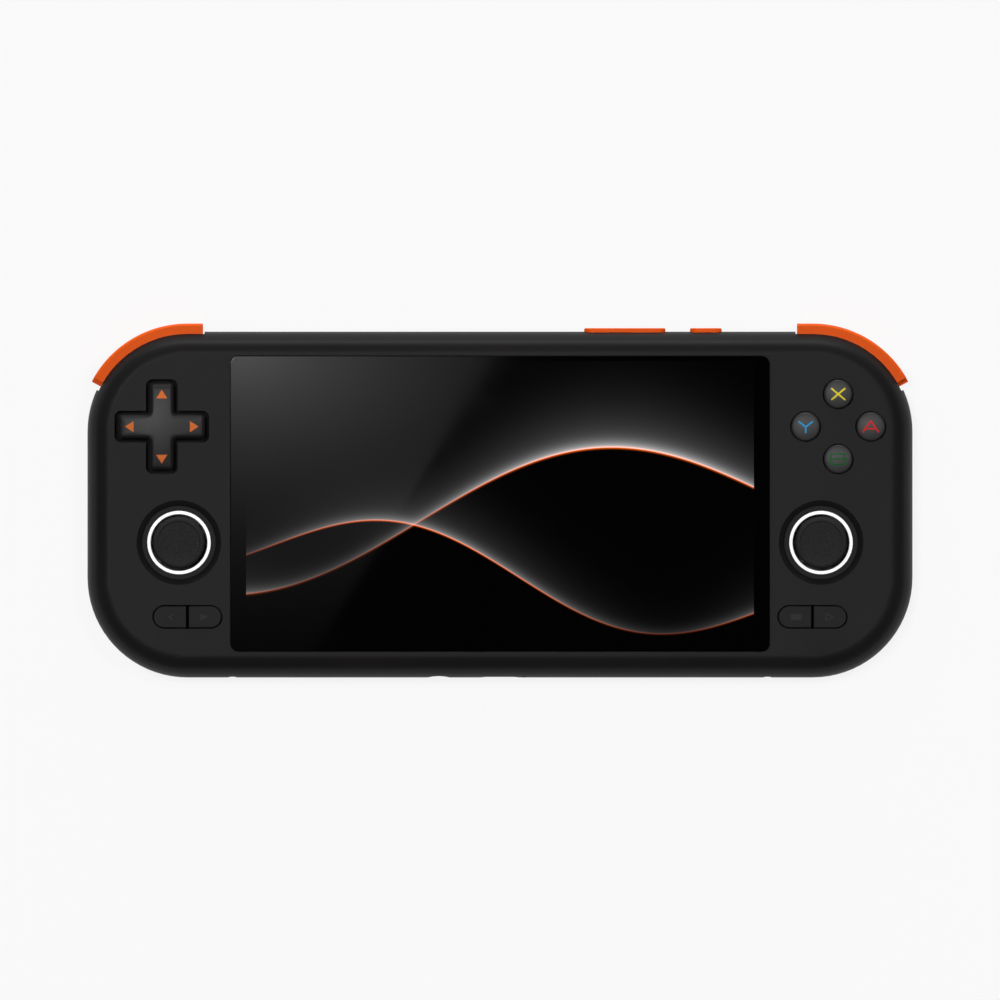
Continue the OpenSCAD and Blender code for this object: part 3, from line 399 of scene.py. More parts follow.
@dataclass(frozen=True)
class Ribbon:
    """One band of light in the screen's picture: a wave with a glow above it and a coloured line along it."""

    swing_mm: float
    length_mm: float
    phase: float
    tilt: float
    rise_mm: float
    glow: float
    glow_mm: float
    line: float
    line_mm: float
    fade_mm: float
    fade_phase: float


@dataclass(frozen=True)
class CoverGlass(Finish):
    """Aluminosilicate glass, polished, over a lit panel: black and mirror-smooth, with the picture in it."""

    tone: str
    line_tone: str
    lit_w: float
    lit_h: float
    lit_up: float
    ribbons: tuple[Ribbon, ...]
    wide_glow: float = 0.1
    close_glow: float = 0.75
    close_times: float = 6.0
    fade_swing: float = 0.45
    fade_mean: float = 0.55
    smear_mm: float = 30.0
    smear_stops: Flat = (0.35, 0.75)
    polish: Flat = (0.012, 0.03)
    ior: float = 1.5

    def dress(self, tree: bpy.types.NodeTree, shader: bpy.types.Node, place: bpy.types.NodeSocket) -> None:
        """Draw the picture from waves, keep it inside the lit area, and smear the polish slightly.

        Args:
            tree: The material's node tree.
            shader: Its surface shader.
            place: Object coordinates, in metres.
        """
        size = add_node(tree, "ShaderNodeVectorMath", {0: place, "Scale": 1 / MM}, operation="SCALE")
        split = add_node(tree, "ShaderNodeSeparateXYZ", {0: size.outputs["Vector"]})
        across = split.outputs["X"]
        raised = add_node(tree, "ShaderNodeMath", {
            0: split.outputs["Y"], 1: self.lit_up}, operation="SUBTRACT")
        up = raised.outputs[0]
        total, *others = [self.shine(tree, across, up, ribbon) for ribbon in self.ribbons]
        for shine in others:
            both = add_node(tree, "ShaderNodeVectorMath", {0: total, 1: shine}, operation="ADD")
            total = both.outputs["Vector"]
        mask = self.inside(tree, across, up)
        picture = add_node(tree, "ShaderNodeVectorMath", {0: total, "Scale": mask}, operation="SCALE")
        smear = add_node(tree, "ShaderNodeTexNoise", {
            "Vector": place, "Scale": 1 / (self.smear_mm * MM), "Detail": 4.0})
        gloss = add_node(tree, "ShaderNodeMapRange", {
            "Value": smear.outputs["Fac"], "From Min": self.smear_stops[0], "From Max": self.smear_stops[1],
            "To Min": self.polish[0], "To Max": self.polish[1]})
        feed(tree, shader, {
            "Emission Color": picture.outputs["Vector"], "Emission Strength": 1.0,
            "Roughness": gloss.outputs["Result"], "Base Color": linear(self.tone), "IOR": self.ior})

    def shine(self, tree: bpy.types.NodeTree, across: bpy.types.NodeSocket, up: bpy.types.NodeSocket,
              ribbon: Ribbon) -> bpy.types.NodeSocket:
        """Build the light of one ribbon.

        Args:
            tree: The material's node tree.
            across: Millimetres to the right of the screen's middle.
            up: Millimetres above it.
            ribbon: The ribbon's sizes.

        Returns:
            The socket with the ribbon's colour.
        """
        def calc(operation: str, *values: Any) -> bpy.types.NodeSocket:
            """Return the output of one calculation."""
            return add_node(tree, "ShaderNodeMath", dict(enumerate(values)), operation=operation).outputs[0]

        turn = calc("MULTIPLY_ADD", across, 2 * math.pi / ribbon.length_mm, ribbon.phase)
        wave = calc("MULTIPLY_ADD", calc("SINE", turn), ribbon.swing_mm, ribbon.rise_mm)
        crest = calc("MULTIPLY_ADD", across, ribbon.tilt, wave)
        away = calc("SUBTRACT", up, crest)
        fade_turn = calc("MULTIPLY_ADD", across, 2 * math.pi / ribbon.fade_mm, ribbon.fade_phase)
        fade = calc("MULTIPLY_ADD", calc("SINE", fade_turn), self.fade_swing, self.fade_mean)
        above = calc("GREATER_THAN", away, 0.0)
        wide = calc("EXPONENT", calc("MULTIPLY", away, -1 / ribbon.glow_mm))
        close = calc("EXPONENT", calc("MULTIPLY", away, -self.close_times / ribbon.glow_mm))
        bright = calc("MULTIPLY_ADD", wide, self.wide_glow, calc("MULTIPLY", close, self.close_glow))
        body = calc("MULTIPLY", bright, above)
        glow = calc("MULTIPLY", calc("MULTIPLY", body, ribbon.glow), fade)
        edge = calc("EXPONENT", calc("MULTIPLY", calc("MULTIPLY", away, away), -1 / ribbon.line_mm ** 2))
        line = calc("MULTIPLY", calc("MULTIPLY", edge, ribbon.line), fade)
        white = add_node(tree, "ShaderNodeVectorMath", {0: (1.0, 1.0, 1.0), "Scale": glow}, operation="SCALE")
        warm = add_node(tree, "ShaderNodeVectorMath", {
            0: linear(self.line_tone)[:3], "Scale": line}, operation="SCALE")
        both = add_node(tree, "ShaderNodeVectorMath", {
            0: white.outputs["Vector"], 1: warm.outputs["Vector"]}, operation="ADD")
        return both.outputs["Vector"]

    def inside(self, tree: bpy.types.NodeTree, across: bpy.types.NodeSocket,
               up: bpy.types.NodeSocket) -> bpy.types.NodeSocket:
        """Return a socket that is 1 inside the lit area and 0 on its black margin.

        Args:
            tree: The material's node tree.
            across: Millimetres to the right of the screen's middle.
            up: Millimetres above it.

        Returns:
            The mask's socket.
        """
        parts = []
        for value, half in ((across, self.lit_w / 2), (up, self.lit_h / 2)):
            far = add_node(tree, "ShaderNodeMath", {0: value}, operation="ABSOLUTE")
            near = add_node(tree, "ShaderNodeMath", {0: far.outputs[0], 1: half}, operation="LESS_THAN")
            parts.append(near.outputs[0])
        return add_node(tree, "ShaderNodeMath", dict(enumerate(parts)), operation="MULTIPLY").outputs[0]


WHITE = linear("#FFFFFF")
BLACK = linear("#000000")

# Grit of a moulded case is about 0.05 mm. On all the mouldings it is drawn some ten times coarser, so that it
# shows at a quarter millimetre a pixel. On the case it gives a soft, even black.
SHELL = MouldedPlastic("abs_shell_black_spark_texture", "#1B191A", "#181717", roughness=0.45, grit_mm=0.5,
                       grit_depth_mm=0.012, specular=0.06)
# The round keys are greyer than the case, with a finer grit and more sheen on their crowns.
KEY = MouldedPlastic("abs_key_black_fine_matt", "#2C2B2D", "#282729", roughness=0.46, grit_mm=0.4,
                     grit_depth_mm=0.008, specular=0.25)
# The cross key's satin is smoother, so that its flanks and its dome take the light differently.
PAD = MouldedPlastic("abs_cross_key_charcoal_satin", "#252324", "#222021", roughness=0.38, grit_mm=0.4,
                     grit_depth_mm=0.006, specular=0.12)
# The shoulder keys are moulded in the colour, so it is deep and even.
ORANGE = MouldedPlastic("abs_orange_moulded_in_colour", "#E55600", "#DD5000", roughness=0.55, grit_mm=0.45,
                        grit_depth_mm=0.008, specular=0.1)
# Sockets, speakers and switches are a hard, slightly blue black.
CASING = MouldedPlastic("pbt_black_connector_moulding", "#17171A", "#131316", roughness=0.5, grit_mm=0.6,
                        grit_depth_mm=0.01, specular=0.4)
# The gimbals have a waxy dark sheen.
ACETAL = MouldedPlastic("acetal_black_gimbal_moulding", "#242426", "#1F1F21", roughness=0.4, grit_mm=0.5,
                        grit_depth_mm=0.008, specular=0.4)
# The battery's film is shrunk on, and its ripples are real ones of 1.5 mm.
WRAP = MouldedPlastic("pet_film_battery_wrap", "#2B2B2E", "#252528", roughness=0.3, grit_mm=1.5,
                      grit_depth_mm=0.03, specular=0.5)
# The display's backing is nearly black, with an almost flat coat.
PANEL = MouldedPlastic("coated_panel_backing", "#0E0E10", "#0B0B0D", roughness=0.35, grit_mm=1.0,
                       grit_depth_mm=0.004, specular=0.5)
# The caps' stipple breaks up the light, so they stay dull from every side.
RUBBER = CastRubber("silicone_stick_cap_black", "#242323", roughness=0.7, stipple_mm=0.55, depth_mm=0.03)
MEMBRANE = CastRubber("silicone_membrane_carbon_black", "#202022", roughness=0.75, stipple_mm=0.8,
                      depth_mm=0.02)
# Marks are long along the rolls of a sheet and along a ground pin, and round in a casting or a zinc coat.
STEEL = WorkedMetal("steel_sheet_rolled", "#B9BABD", roughness=0.34, mark_mm=(6.0, 0.25, 0.25),
                    depth_mm=0.006)
PIN = WorkedMetal("steel_pin_ground", "#C2C3C6", roughness=0.22, mark_mm=(0.4, 0.4, 2.0), depth_mm=0.004)
BLACK_STEEL = WorkedMetal("steel_screw_black_zinc", "#3B3C3F", roughness=0.42, mark_mm=(0.5, 0.5, 0.5),
                          depth_mm=0.01)
COPPER = WorkedMetal("copper_sheet_rolled", "#C4764C", roughness=0.36, mark_mm=(8.0, 0.4, 0.4),
                     depth_mm=0.006)
CASTING = WorkedMetal("aluminium_frame_die_cast", "#A9AAAE", roughness=0.48, mark_mm=(1.2, 1.2, 1.2),
                      depth_mm=0.02)
# A unit of the pattern is eight runs of 0.25 mm, so that the rows of copper lie 0.5 mm apart.
BOARD = SolderMask("epoxy_board_green_mask", "#0F4A2E", "#1A6440", run_mm=0.25)
# The rings' own light is below full white, because the studio's light on the opal adds to it.
LIGHT = LitGuide("polycarbonate_light_ring_lit", "#FFFFFF", "#F6F6F4", "#9A9A9A", lamp_mm=6.0, strength=0.68)
# Pinholes of an ink film are about 0.05 mm; they are drawn at 0.3 mm, like the grit.
INK_ORANGE = PrintedInk("ink_orange_pad_printed", "#CE6A2C")
INK_YELLOW = PrintedInk("ink_yellow_pad_printed", "#E6D029")
INK_BLUE = PrintedInk("ink_blue_pad_printed", "#2A92CC")
INK_RED = PrintedInk("ink_red_pad_printed", "#C8201F")
INK_GREEN = PrintedInk("ink_green_pad_printed", "#125624")
INK_GREY = PrintedInk("ink_dark_grey_pad_printed", "#2B292A")
# Two crossing waves of light on the panel, with a long glow above each and a thin warm line along it.
RIBBONS = (
    Ribbon(swing_mm=15.0, length_mm=172.0, phase=0.7, tilt=0.06, rise_mm=-3.0, glow=0.8, glow_mm=5.5,
           line=0.95, line_mm=0.28, fade_mm=150.0, fade_phase=0.2),
    Ribbon(swing_mm=9.5, length_mm=118.0, phase=2.9, tilt=-0.13, rise_mm=-17.0, glow=0.36, glow_mm=5.0,
           line=0.8, line_mm=0.2, fade_mm=110.0, fade_phase=2.4),
)
# The glass is black until it mirrors something, apart from the waves behind it.
GLASS = CoverGlass("glass_cover_polished_lit_panel", "#030304", "#FF6A12", lit_w=121.76, lit_h=68.49,
                   lit_up=0.2, ribbons=RIBBONS)


def node_finishes() -> dict[str, Finish]:
    """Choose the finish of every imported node.

    Returns:
        Finishes by node name.
    """
    single: dict[str, Finish] = {
        "front_shell": SHELL, "rear_shell": SHELL, "screen_glass": GLASS, "display_panel": PANEL,
        "mid_frame": CASTING, "main_board": BOARD, "shield_can": STEEL, "heat_spreader": COPPER,
        "battery": WRAP, "usb_port": STEEL, "headphone_jack": CASING, "card_reader": STEEL,
        "side_key_board": BOARD, "dpad": PAD, "dpad_ball": PIN, "dpad_post": ACETAL,
        "dpad_membrane": MEMBRANE, "face_membrane": MEMBRANE, "trigger_sensors": CASING, "volume_key": ORANGE,
        "power_key": ORANGE, "case_screws": BLACK_STEEL, "board_screws": PIN, "face_button_top": KEY,
        "face_button_left": KEY, "face_button_right": KEY, "face_button_bottom": KEY,
    }
    paired: dict[str, Finish] = {
        "speaker": CASING, "button_board": BOARD, "menu_key_outer": SHELL, "menu_key_inner": SHELL,
        "menu_membrane": MEMBRANE, "stick_ring": LIGHT, "stick_housing": CASING, "stick_yoke": ACETAL,
        "stick_trunnion": ACETAL, "stick_shaft": PIN, "stick_cap": RUBBER, "bumper": ORANGE,
        "trigger": ORANGE, "shoulder_pin": PIN, "trigger_spring": PIN, "bumper_switch": CASING,
    }
    return single | {f"{side.word}_{piece}": finish for side in Side for piece, finish in paired.items()}


@dataclass(frozen=True)
class EdgeBreak:
    """The small rounding that moulding or deburring leaves on every edge of a node."""

    width_mm: float
    segments: int = 2
    corner_deg: float = 32.0
    flat_deg: float = 0.4
    face_weight: int = 80

    def apply(self, node: bpy.types.Object) -> None:
        """Clear the node's flat faces of cuts and round its edges, by modifiers.

        Args:
            node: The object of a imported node.
        """
        flat = node.modifiers.new("flat", "DECIMATE")
        flat.decimate_type = "DISSOLVE"
        flat.angle_limit = math.radians(self.flat_deg)
        edge = node.modifiers.new("edge", "BEVEL")
        edge.limit_method = "ANGLE"
        edge.angle_limit = math.radians(self.corner_deg)
        edge.width = self.width_mm * MM
        edge.segments = self.segments
        edge.use_clamp_overlap = True
        edge.miter_outer = "MITER_ARC"
        even = node.modifiers.new("even", "WEIGHTED_NORMAL")
        even.keep_sharp = False
        even.weight = self.face_weight


def add_piece(name: str, points: Sequence[Spot], faces: Sequence[Sequence[int]], finish: Finish, body: str,
              smooth: bool = True) -> bpy.types.Object:
    """Make a mesh piece and let it ride on a body.

    Args:
        name: The piece's name.
        points: Its points, in millimetres.
        faces: Its faces as numbers of points.
        finish: The finish that it is dressed in.
        body: The body that it moves with.
        smooth: Whether its faces shade smoothly.

    Returns:
        The piece.
    """
    mesh = bpy.data.meshes.new(name)
    mesh.from_pydata([tuple(value * MM for value in point) for point in points], [], faces)
    mesh.validate()
    mesh.polygons.foreach_set("use_smooth", [smooth] * len(mesh.polygons))
    mesh.materials.append(finish.material())
    piece = show(name, mesh)
    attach(piece, body)
    LOG.info("piece %s: %d points, %d faces, rides on %s", name, len(points), len(mesh.polygons), body)
    return piece


def arc(centre: Flat, radius: float, start: float, end: float, steps: int) -> list[Flat]:
    """Return points along an arc.

    Args:
        centre: The arc's middle.
        radius: Its radius.
        start: First angle, in degrees.
        end: Last angle, in degrees.
        steps: How many pieces it has.

    Returns:
        One point more than it has pieces.
    """
    angles = [math.radians(start + (end - start) * k / steps) for k in range(steps + 1)]
    return [(centre[0] + radius * math.cos(a), centre[1] + radius * math.sin(a)) for a in angles]


def between(first: Flat, second: Flat, count: int) -> list[Flat]:
    """Return the points that cut a straight run into a count of pieces, without its ends."""
    return [(first[0] + (second[0] - first[0]) * k / count, first[1] + (second[1] - first[1]) * k / count)
            for k in range(1, count)]


def dome(centre: Flat, top: float, radius: float) -> Height:
    """Describe a round dome.

    Args:
        centre: Where the dome is highest.
        top: Its height there.
        radius: The radius of its ball.

    Returns:
        A function that gives the dome's height at a place.
    """
    def height(x: float, y: float) -> float:
        """Return the dome's height at a place."""
        far = (x - centre[0]) ** 2 + (y - centre[1]) ** 2
        return top - radius + math.sqrt(radius ** 2 - far)

    return height


def revolve(profile: Sequence[Flat], centre: Flat, steps: int) -> tuple[list[Spot], list[list[int]]]:
    """Turn a profile of radius and height round an upright axis.

    Args:
        profile: Radius and height of each point; the skin closes where the profile meets the axis.
        centre: Where the axis stands.
        steps: How many faces there are round it.

    Returns:
        Points and faces.
    """
    points: list[Spot] = []
    rings: list[list[int]] = []
    for radius, height in profile:
        count = 1 if radius < SKIN_JOIN else steps
        rings.append(list(range(len(points), len(points) + count)))
        for k in range(count):
            angle = 2 * math.pi * k / steps
            x = centre[0] + radius * math.cos(angle)
            y = centre[1] + radius * math.sin(angle)
            points.append((x, y, height))
    faces: list[list[int]] = []
    for first, second in zip(rings, rings[1:]):
        for k in range(steps):
            corners = [first[k % len(first)], second[k % len(second)],
                       second[(k + 1) % len(second)], first[(k + 1) % len(first)]]
            face = list(dict.fromkeys(corners))
            if len(face) > 2:
                faces.append(face)
    return points, faces


def film(outlines: Sequence[Sequence[Flat]], height: Height, lift: float,
         sink: float) -> tuple[list[Spot], list[list[int]]]:
    """Lay a thin closed film on a curved surface.

    Args:
        outlines: Closed outlines that may overlap.
        height: The surface's height at a place.
        lift: How far the film stands above the surface.
        sink: How far it reaches below.

    Returns:
        Points and faces.
    """
    flat: list[Vector] = []
    loops: list[list[int]] = []
    for outline in outlines:
        loops.append(list(range(len(flat), len(flat) + len(outline))))
        flat += [Vector(point) for point in outline]
    spots, _, triangles, _, _, owners = delaunay_2d_cdt(flat, [], loops, INSIDE, FILM_JOIN)
    kept = [list(face) for face, owner in zip(triangles, owners) if owner]
    top = [(p.x, p.y, height(p.x, p.y) + lift) for p in spots]
    low = [(p.x, p.y, height(p.x, p.y) - sink) for p in spots]
    count = len(spots)
    used = {(face[k], face[(k + 1) % len(face)]) for face in kept for k in range(len(face))}
    walls = [[b, a, a + count, b + count] for a, b in used if (b, a) not in used]
    floor = [[k + count for k in reversed(face)] for face in kept]
    return top + low, kept + walls + floor


def stroke(path: Sequence[Flat], width: float, step: float = 0.35, end_steps: int = 6) -> list[list[Flat]]:
    """Return round-ended outlines that follow a path of straight runs.

    Args:
        path: The path's corners.
        width: The stroke's width.
        step: About how long a piece of its sides is, so that it can follow a curved surface.
        end_steps: How many pieces a round end has.

    Returns:
        One outline for each run.
    """
    outlines = []
    for (x0, y0), (x1, y1) in zip(path, path[1:]):
        along = math.degrees(math.atan2(y1 - y0, x1 - x0))
        count = max(1, round(math.hypot(x1 - x0, y1 - y0) / step))
        head = arc((x1, y1), width / 2, along - 90, along + 90, end_steps)
        tail = arc((x0, y0), width / 2, along + 90, along + 270, end_steps)
        back = between(head[-1], tail[0], count)
        forth = between(tail[-1], head[0], count)
        outlines.append(head + back + tail + forth)
    return outlines


def moved(outlines: Sequence[Sequence[Flat]], place: Flat) -> list[list[Flat]]:
    """Return outlines moved to a place."""
    return [[(x + place[0], y + place[1]) for x, y in outline] for outline in outlines]


@dataclass
class Case:
    """The two shells with the glass, the ports and all that lies inside them."""

    shell_edge: EdgeBreak = EdgeBreak(0.18)
    fine_edge: EdgeBreak = EdgeBreak(0.08)
    shell_nodes: tuple[str, ...] = ("front_shell", "rear_shell")
    fine_nodes: tuple[str, ...] = ("screen_glass", "usb_port", "headphone_jack", "case_screws")

    def dress(self) -> None:
        """Round the edges of the shells and of the pieces that show at their openings."""
        for name in self.shell_nodes:
            self.shell_edge.apply(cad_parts[name])
        for name in self.fine_nodes:
            self.fine_edge.apply(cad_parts[name])


@dataclass
class CrossKey:
    """The direction key: a domed cross with sloped flanks, soft inner corners and four printed arrows.

    Each step of the flank is an inset from the outer outline and a rise from the dome, negative below it.
    """

    centre: Flat = (-81.1, 18.7)
    top: float = 17.6
    low: float = 11.55
    span: float = 20.7
    arm: float = 5.6
    tip_r: float = 1.0
    tip_least: float = 0.2
    tip_steps: int = 6
    inner_r: float = 1.0
    inner_least: float = 0.1
    inner_steps: int = 8
    crown_r: float = 70.0
    flank: tuple[Flat, ...] = ((0.0, -1.9), (0.0, -1.15), (0.05, -1.02), (0.14, -0.9), (0.56, -0.12),
                               (0.64, -0.03), (0.76, 0.0))
    foot_out: float = 1.35
    foot_h: float = 0.8
    pivot_z: float = 11.3
    hub_r: float = 3.0
    hub_steps: int = 48
    socket_r: float = 1.45
    socket_steps: int = 9
    arrow_base: float = 6.75
    arrow_tip: float = 8.85
    arrow_half: float = 1.35
    arrow_steps: int = 6
    ink_lift: float = 0.02
    ink_sink: float = 0.08
    grid: float = 0.55
    rim_gap: float = 0.7

    @property
    def height(self) -> Height:
        """The height of the domed top, as a function of place."""
        return dome(self.centre, self.top, self.crown_r)

    def outline(self, inset: float) -> list[Flat]:
        """Return the cross's outline, drawn in by an inset.

        Args:
            inset: Distance from the outer outline.

        Returns:
            Points counter-clockwise round the cross.
        """
        reach, half = self.span / 2 - inset, self.arm / 2 - inset
        tip = max(self.tip_r - inset, self.tip_least)
        inner = max(self.inner_r + inset, self.inner_least)
        quarter = arc((reach - tip, half - tip), tip, 0, 90, self.tip_steps)
        quarter += arc((half + inner, half + inner), inner, 270, 180, self.inner_steps)
        quarter += arc((half - tip, reach - tip), tip, 0, 90, self.tip_steps)
        points = []
        for turn in range(4):
            for x, y in quarter:
                for _ in range(turn):
                    x, y = -y, x
                points.append((x + self.centre[0], y + self.centre[1]))
        return points

    def build(self) -> None:
        """Make the key from drawn-in outlines, close it above and below, and print its arrows."""
        step = self.low + self.foot_h
        foot = [(-self.foot_out, self.low), (-self.foot_out, step), (0.0, step)]
        rings = [[(x, y, level) for x, y in self.outline(inset)] for inset, level in foot]
        for inset, rise in self.flank:
            rings.append([(x, y, self.height(x, y) + rise) for x, y in self.outline(inset)])
        count = len(rings[0])
        points = [point for ring in rings for point in ring]
        faces = []
        for k in range(len(rings) - 1):
            for n in range(count):
                m = (n + 1) % count
                faces.append([k * count + n, k * count + m, (k + 1) * count + m, (k + 1) * count + n])
        self.close(points, faces, count)
        self.underside(points, faces, count)
        piece = add_piece("cross_key", points, faces, PAD, "dpad")
        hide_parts("dpad")
        self.arrows()

    def close(self, points: list[Spot], faces: list[list[int]], count: int) -> None:
        """Fill the last outline with triangles that follow the dome.

        Args:
            points: Points so far; the dome's own points are added.
            faces: Faces so far; the dome's triangles are added.
            count: How many points an outline has.
        """
        start = len(points) - count
        rim = [Vector((x, y)) for x, y, _ in points[start:]]
        inset = self.flank[-1][0] + self.grid * self.rim_gap
        reach, half = self.span / 2 - inset, self.arm / 2 - inset
        number = int(reach / self.grid)
        inner = []
        for i in range(-number, number + 1):
            for j in range(-number, number + 1):
                x, y = i * self.grid, j * self.grid
                if min(abs(x), abs(y)) < half and max(abs(x), abs(y)) < reach:
                    inner.append(Vector((x + self.centre[0], y + self.centre[1])))
        spots, _, triangles, origin, _, _ = delaunay_2d_cdt(
            rim + inner, [], [list(range(count))], INSIDE, SKIN_JOIN)
        numbers = {}
        for k, (spot, source) in enumerate(zip(spots, origin)):
            if source and source[0] < count:
                numbers[k] = start + source[0]
            else:
                numbers[k] = len(points)
                points.append((spot.x, spot.y, self.height(spot.x, spot.y)))
        faces += [[numbers[k] for k in face] for face in triangles]

    def underside(self, points: list[Spot], faces: list[list[int]], count: int) -> None:
        """Close the bottom round a hub, which has the socket that rocks on the ball.

        Args:
            points: Points so far; the hub's own points are added.
            faces: Faces so far; those of the bottom and the hub are added.
            count: How many points an outline has.
        """
        bowl = arc((0.0, 0.0), self.socket_r, 0, 90, self.socket_steps)
        socket = [(r, self.pivot_z + rise) for r, rise in bowl]
        hub = [(self.hub_r, self.low), (self.hub_r, self.pivot_z)] + socket
        hub_points, hub_faces = revolve(hub, self.centre, self.hub_steps)
        start = len(points)
        points += hub_points
        faces += [[start + k for k in face] for face in hub_faces]
        numbers = [*range(count), *range(start, start + self.hub_steps)]
        flat = [Vector(points[k][:2]) for k in numbers]
        loops = [list(range(count)), list(range(count, len(numbers)))]
        _, _, triangles, origin, _, owners = delaunay_2d_cdt(flat, [], loops, INSIDE, SKIN_JOIN)
        faces += [[numbers[origin[k][0]] for k in reversed(face)]
                  for face, owner in zip(triangles, owners) if owner == [0]]

    def arrows(self) -> None:
        """Print an arrow near the end of each arm."""
        base, half = self.arrow_base, self.arrow_half
        corners = [(base, -half), (self.arrow_tip, 0.0), (base, half)]
        outline: list[Flat] = []
        for first, second in zip(corners, corners[1:] + corners[:1]):
            outline += [first] + between(first, second, self.arrow_steps)
        for word in ("right", "up", "left", "down"):
            points, faces = film(moved([outline], self.centre), self.height, self.ink_lift, self.ink_sink)
            add_piece(f"cross_key_arrow_{word}", points, faces, INK_ORANGE, "dpad",
                      smooth=False)
            outline = [(-y, x) for x, y in outline]


@dataclass
class FaceKeys:
    """Four round keys in a diamond, each with a printed letter in plain strokes.

    A letter is a few paths of straight runs, measured from the middle of its key.
    """

    centre: Flat = (81.1, 18.7)
    pitch: float = 7.8
    top: float = 17.3
    crown_r: float = 14.0
    stroke_w: float = 0.4
    ink_lift: float = 0.02
    ink_sink: float = 0.1
    edge: EdgeBreak = EdgeBreak(0.4, 4, 40.0)
    places: dict[str, Flat] = field(default_factory=lambda: {
        "top": (0.0, 1.0), "left": (-1.0, 0.0), "right": (1.0, 0.0), "bottom": (0.0, -1.0)})
    inks: dict[str, Finish] = field(default_factory=lambda: {
        "top": INK_YELLOW, "left": INK_BLUE, "right": INK_RED, "bottom": INK_GREEN})
    letters: dict[str, tuple[tuple[Flat, ...], ...]] = field(default_factory=lambda: {
        "top": (((-1.55, -1.3), (1.55, 1.3)), ((-1.55, 1.3), (1.55, -1.3))),
        "left": (((-1.6, 1.15), (0.0, -0.1)), ((1.6, 1.15), (0.0, -0.1)), ((0.0, -0.1), (0.0, -1.45))),
        "right": (((-1.85, -1.25), (0.0, 1.35)), ((1.85, -1.25), (0.0, 1.35)), ((-1.2, -0.5), (1.2, -0.5))),
        "bottom": (((-1.75, -1.25), (-1.75, 1.25)),
                   ((-1.75, 1.25), (1.3, 1.25), (1.6, 0.9), (1.6, 0.4), (1.3, 0.05)),
                   ((-1.75, 0.05), (1.45, 0.05), (1.8, -0.35), (1.8, -0.85), (1.45, -1.25), (-1.75, -1.25))),
    })

    def build(self) -> None:
        """Round the keys' edges and print their letters on the crowns."""
        for word, (x, y) in self.places.items():
            key = f"face_button_{word}"
            self.edge.apply(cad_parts[key])
            spot = (self.centre[0] + x * self.pitch, self.centre[1] + y * self.pitch)
            crown = dome(spot, self.top, self.crown_r)
            outlines = [shape for path in self.letters[word] for shape in stroke(path, self.stroke_w)]
            points, faces = film(moved(outlines, spot), crown, self.ink_lift, self.ink_sink)
            add_piece(f"face_key_letter_{word}", points, faces, self.inks[word], key,
                      smooth=False)


@dataclass
class MenuKeys:
    """Two split pills of flush keys, each key with a faint printed mark, drawn as a line or filled."""

    centre: Flat = (74.95, -26.95)
    shift: float = 3.95
    top: float = 16.1
    stroke_w: float = 0.3
    ink_lift: float = 0.015
    ink_sink: float = 0.05
    edge: EdgeBreak = EdgeBreak(0.22, 3)
    lines: dict[str, tuple[Flat, ...]] = field(default_factory=lambda: {
        "left_outer": ((0.45, 0.6), (-0.45, 0.0), (0.45, -0.6)),
        "right_outer": ((-0.7, -0.85), (0.95, 0.0), (-0.7, 0.85), (-0.7, -0.85)),
    })
    fills: dict[str, tuple[Flat, ...]] = field(default_factory=lambda: {
        "left_inner": ((-0.8, -0.9), (1.0, 0.0), (-0.8, 0.9)),
        "right_inner": ((-1.3, -0.75), (1.3, -0.75), (1.3, 0.75), (-1.3, 0.75)),
    })

    def level(self, x: float, y: float) -> float:
        """Return the height of the flat keys, which is the same at every place."""
        return self.top

    def build(self) -> None:
        """Round the keys' edges and print their marks."""
        for side in Side:
            for word, away in (("outer", 1), ("inner", -1)):
                key = f"{side.word}_menu_key_{word}"
                self.edge.apply(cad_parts[key])
                spot = (side.value * (self.centre[0] + away * self.shift), self.centre[1])
                mark = f"{side.word}_{word}"
                if mark in self.lines:
                    outlines = stroke(self.lines[mark], self.stroke_w)
                else:
                    outlines = [list(self.fills[mark])]
                points, faces = film(moved(outlines, spot), self.level, self.ink_lift, self.ink_sink)
                add_piece(f"{side.word}_menu_mark_{word}", points, faces, INK_GREY, key,
                          smooth=False)


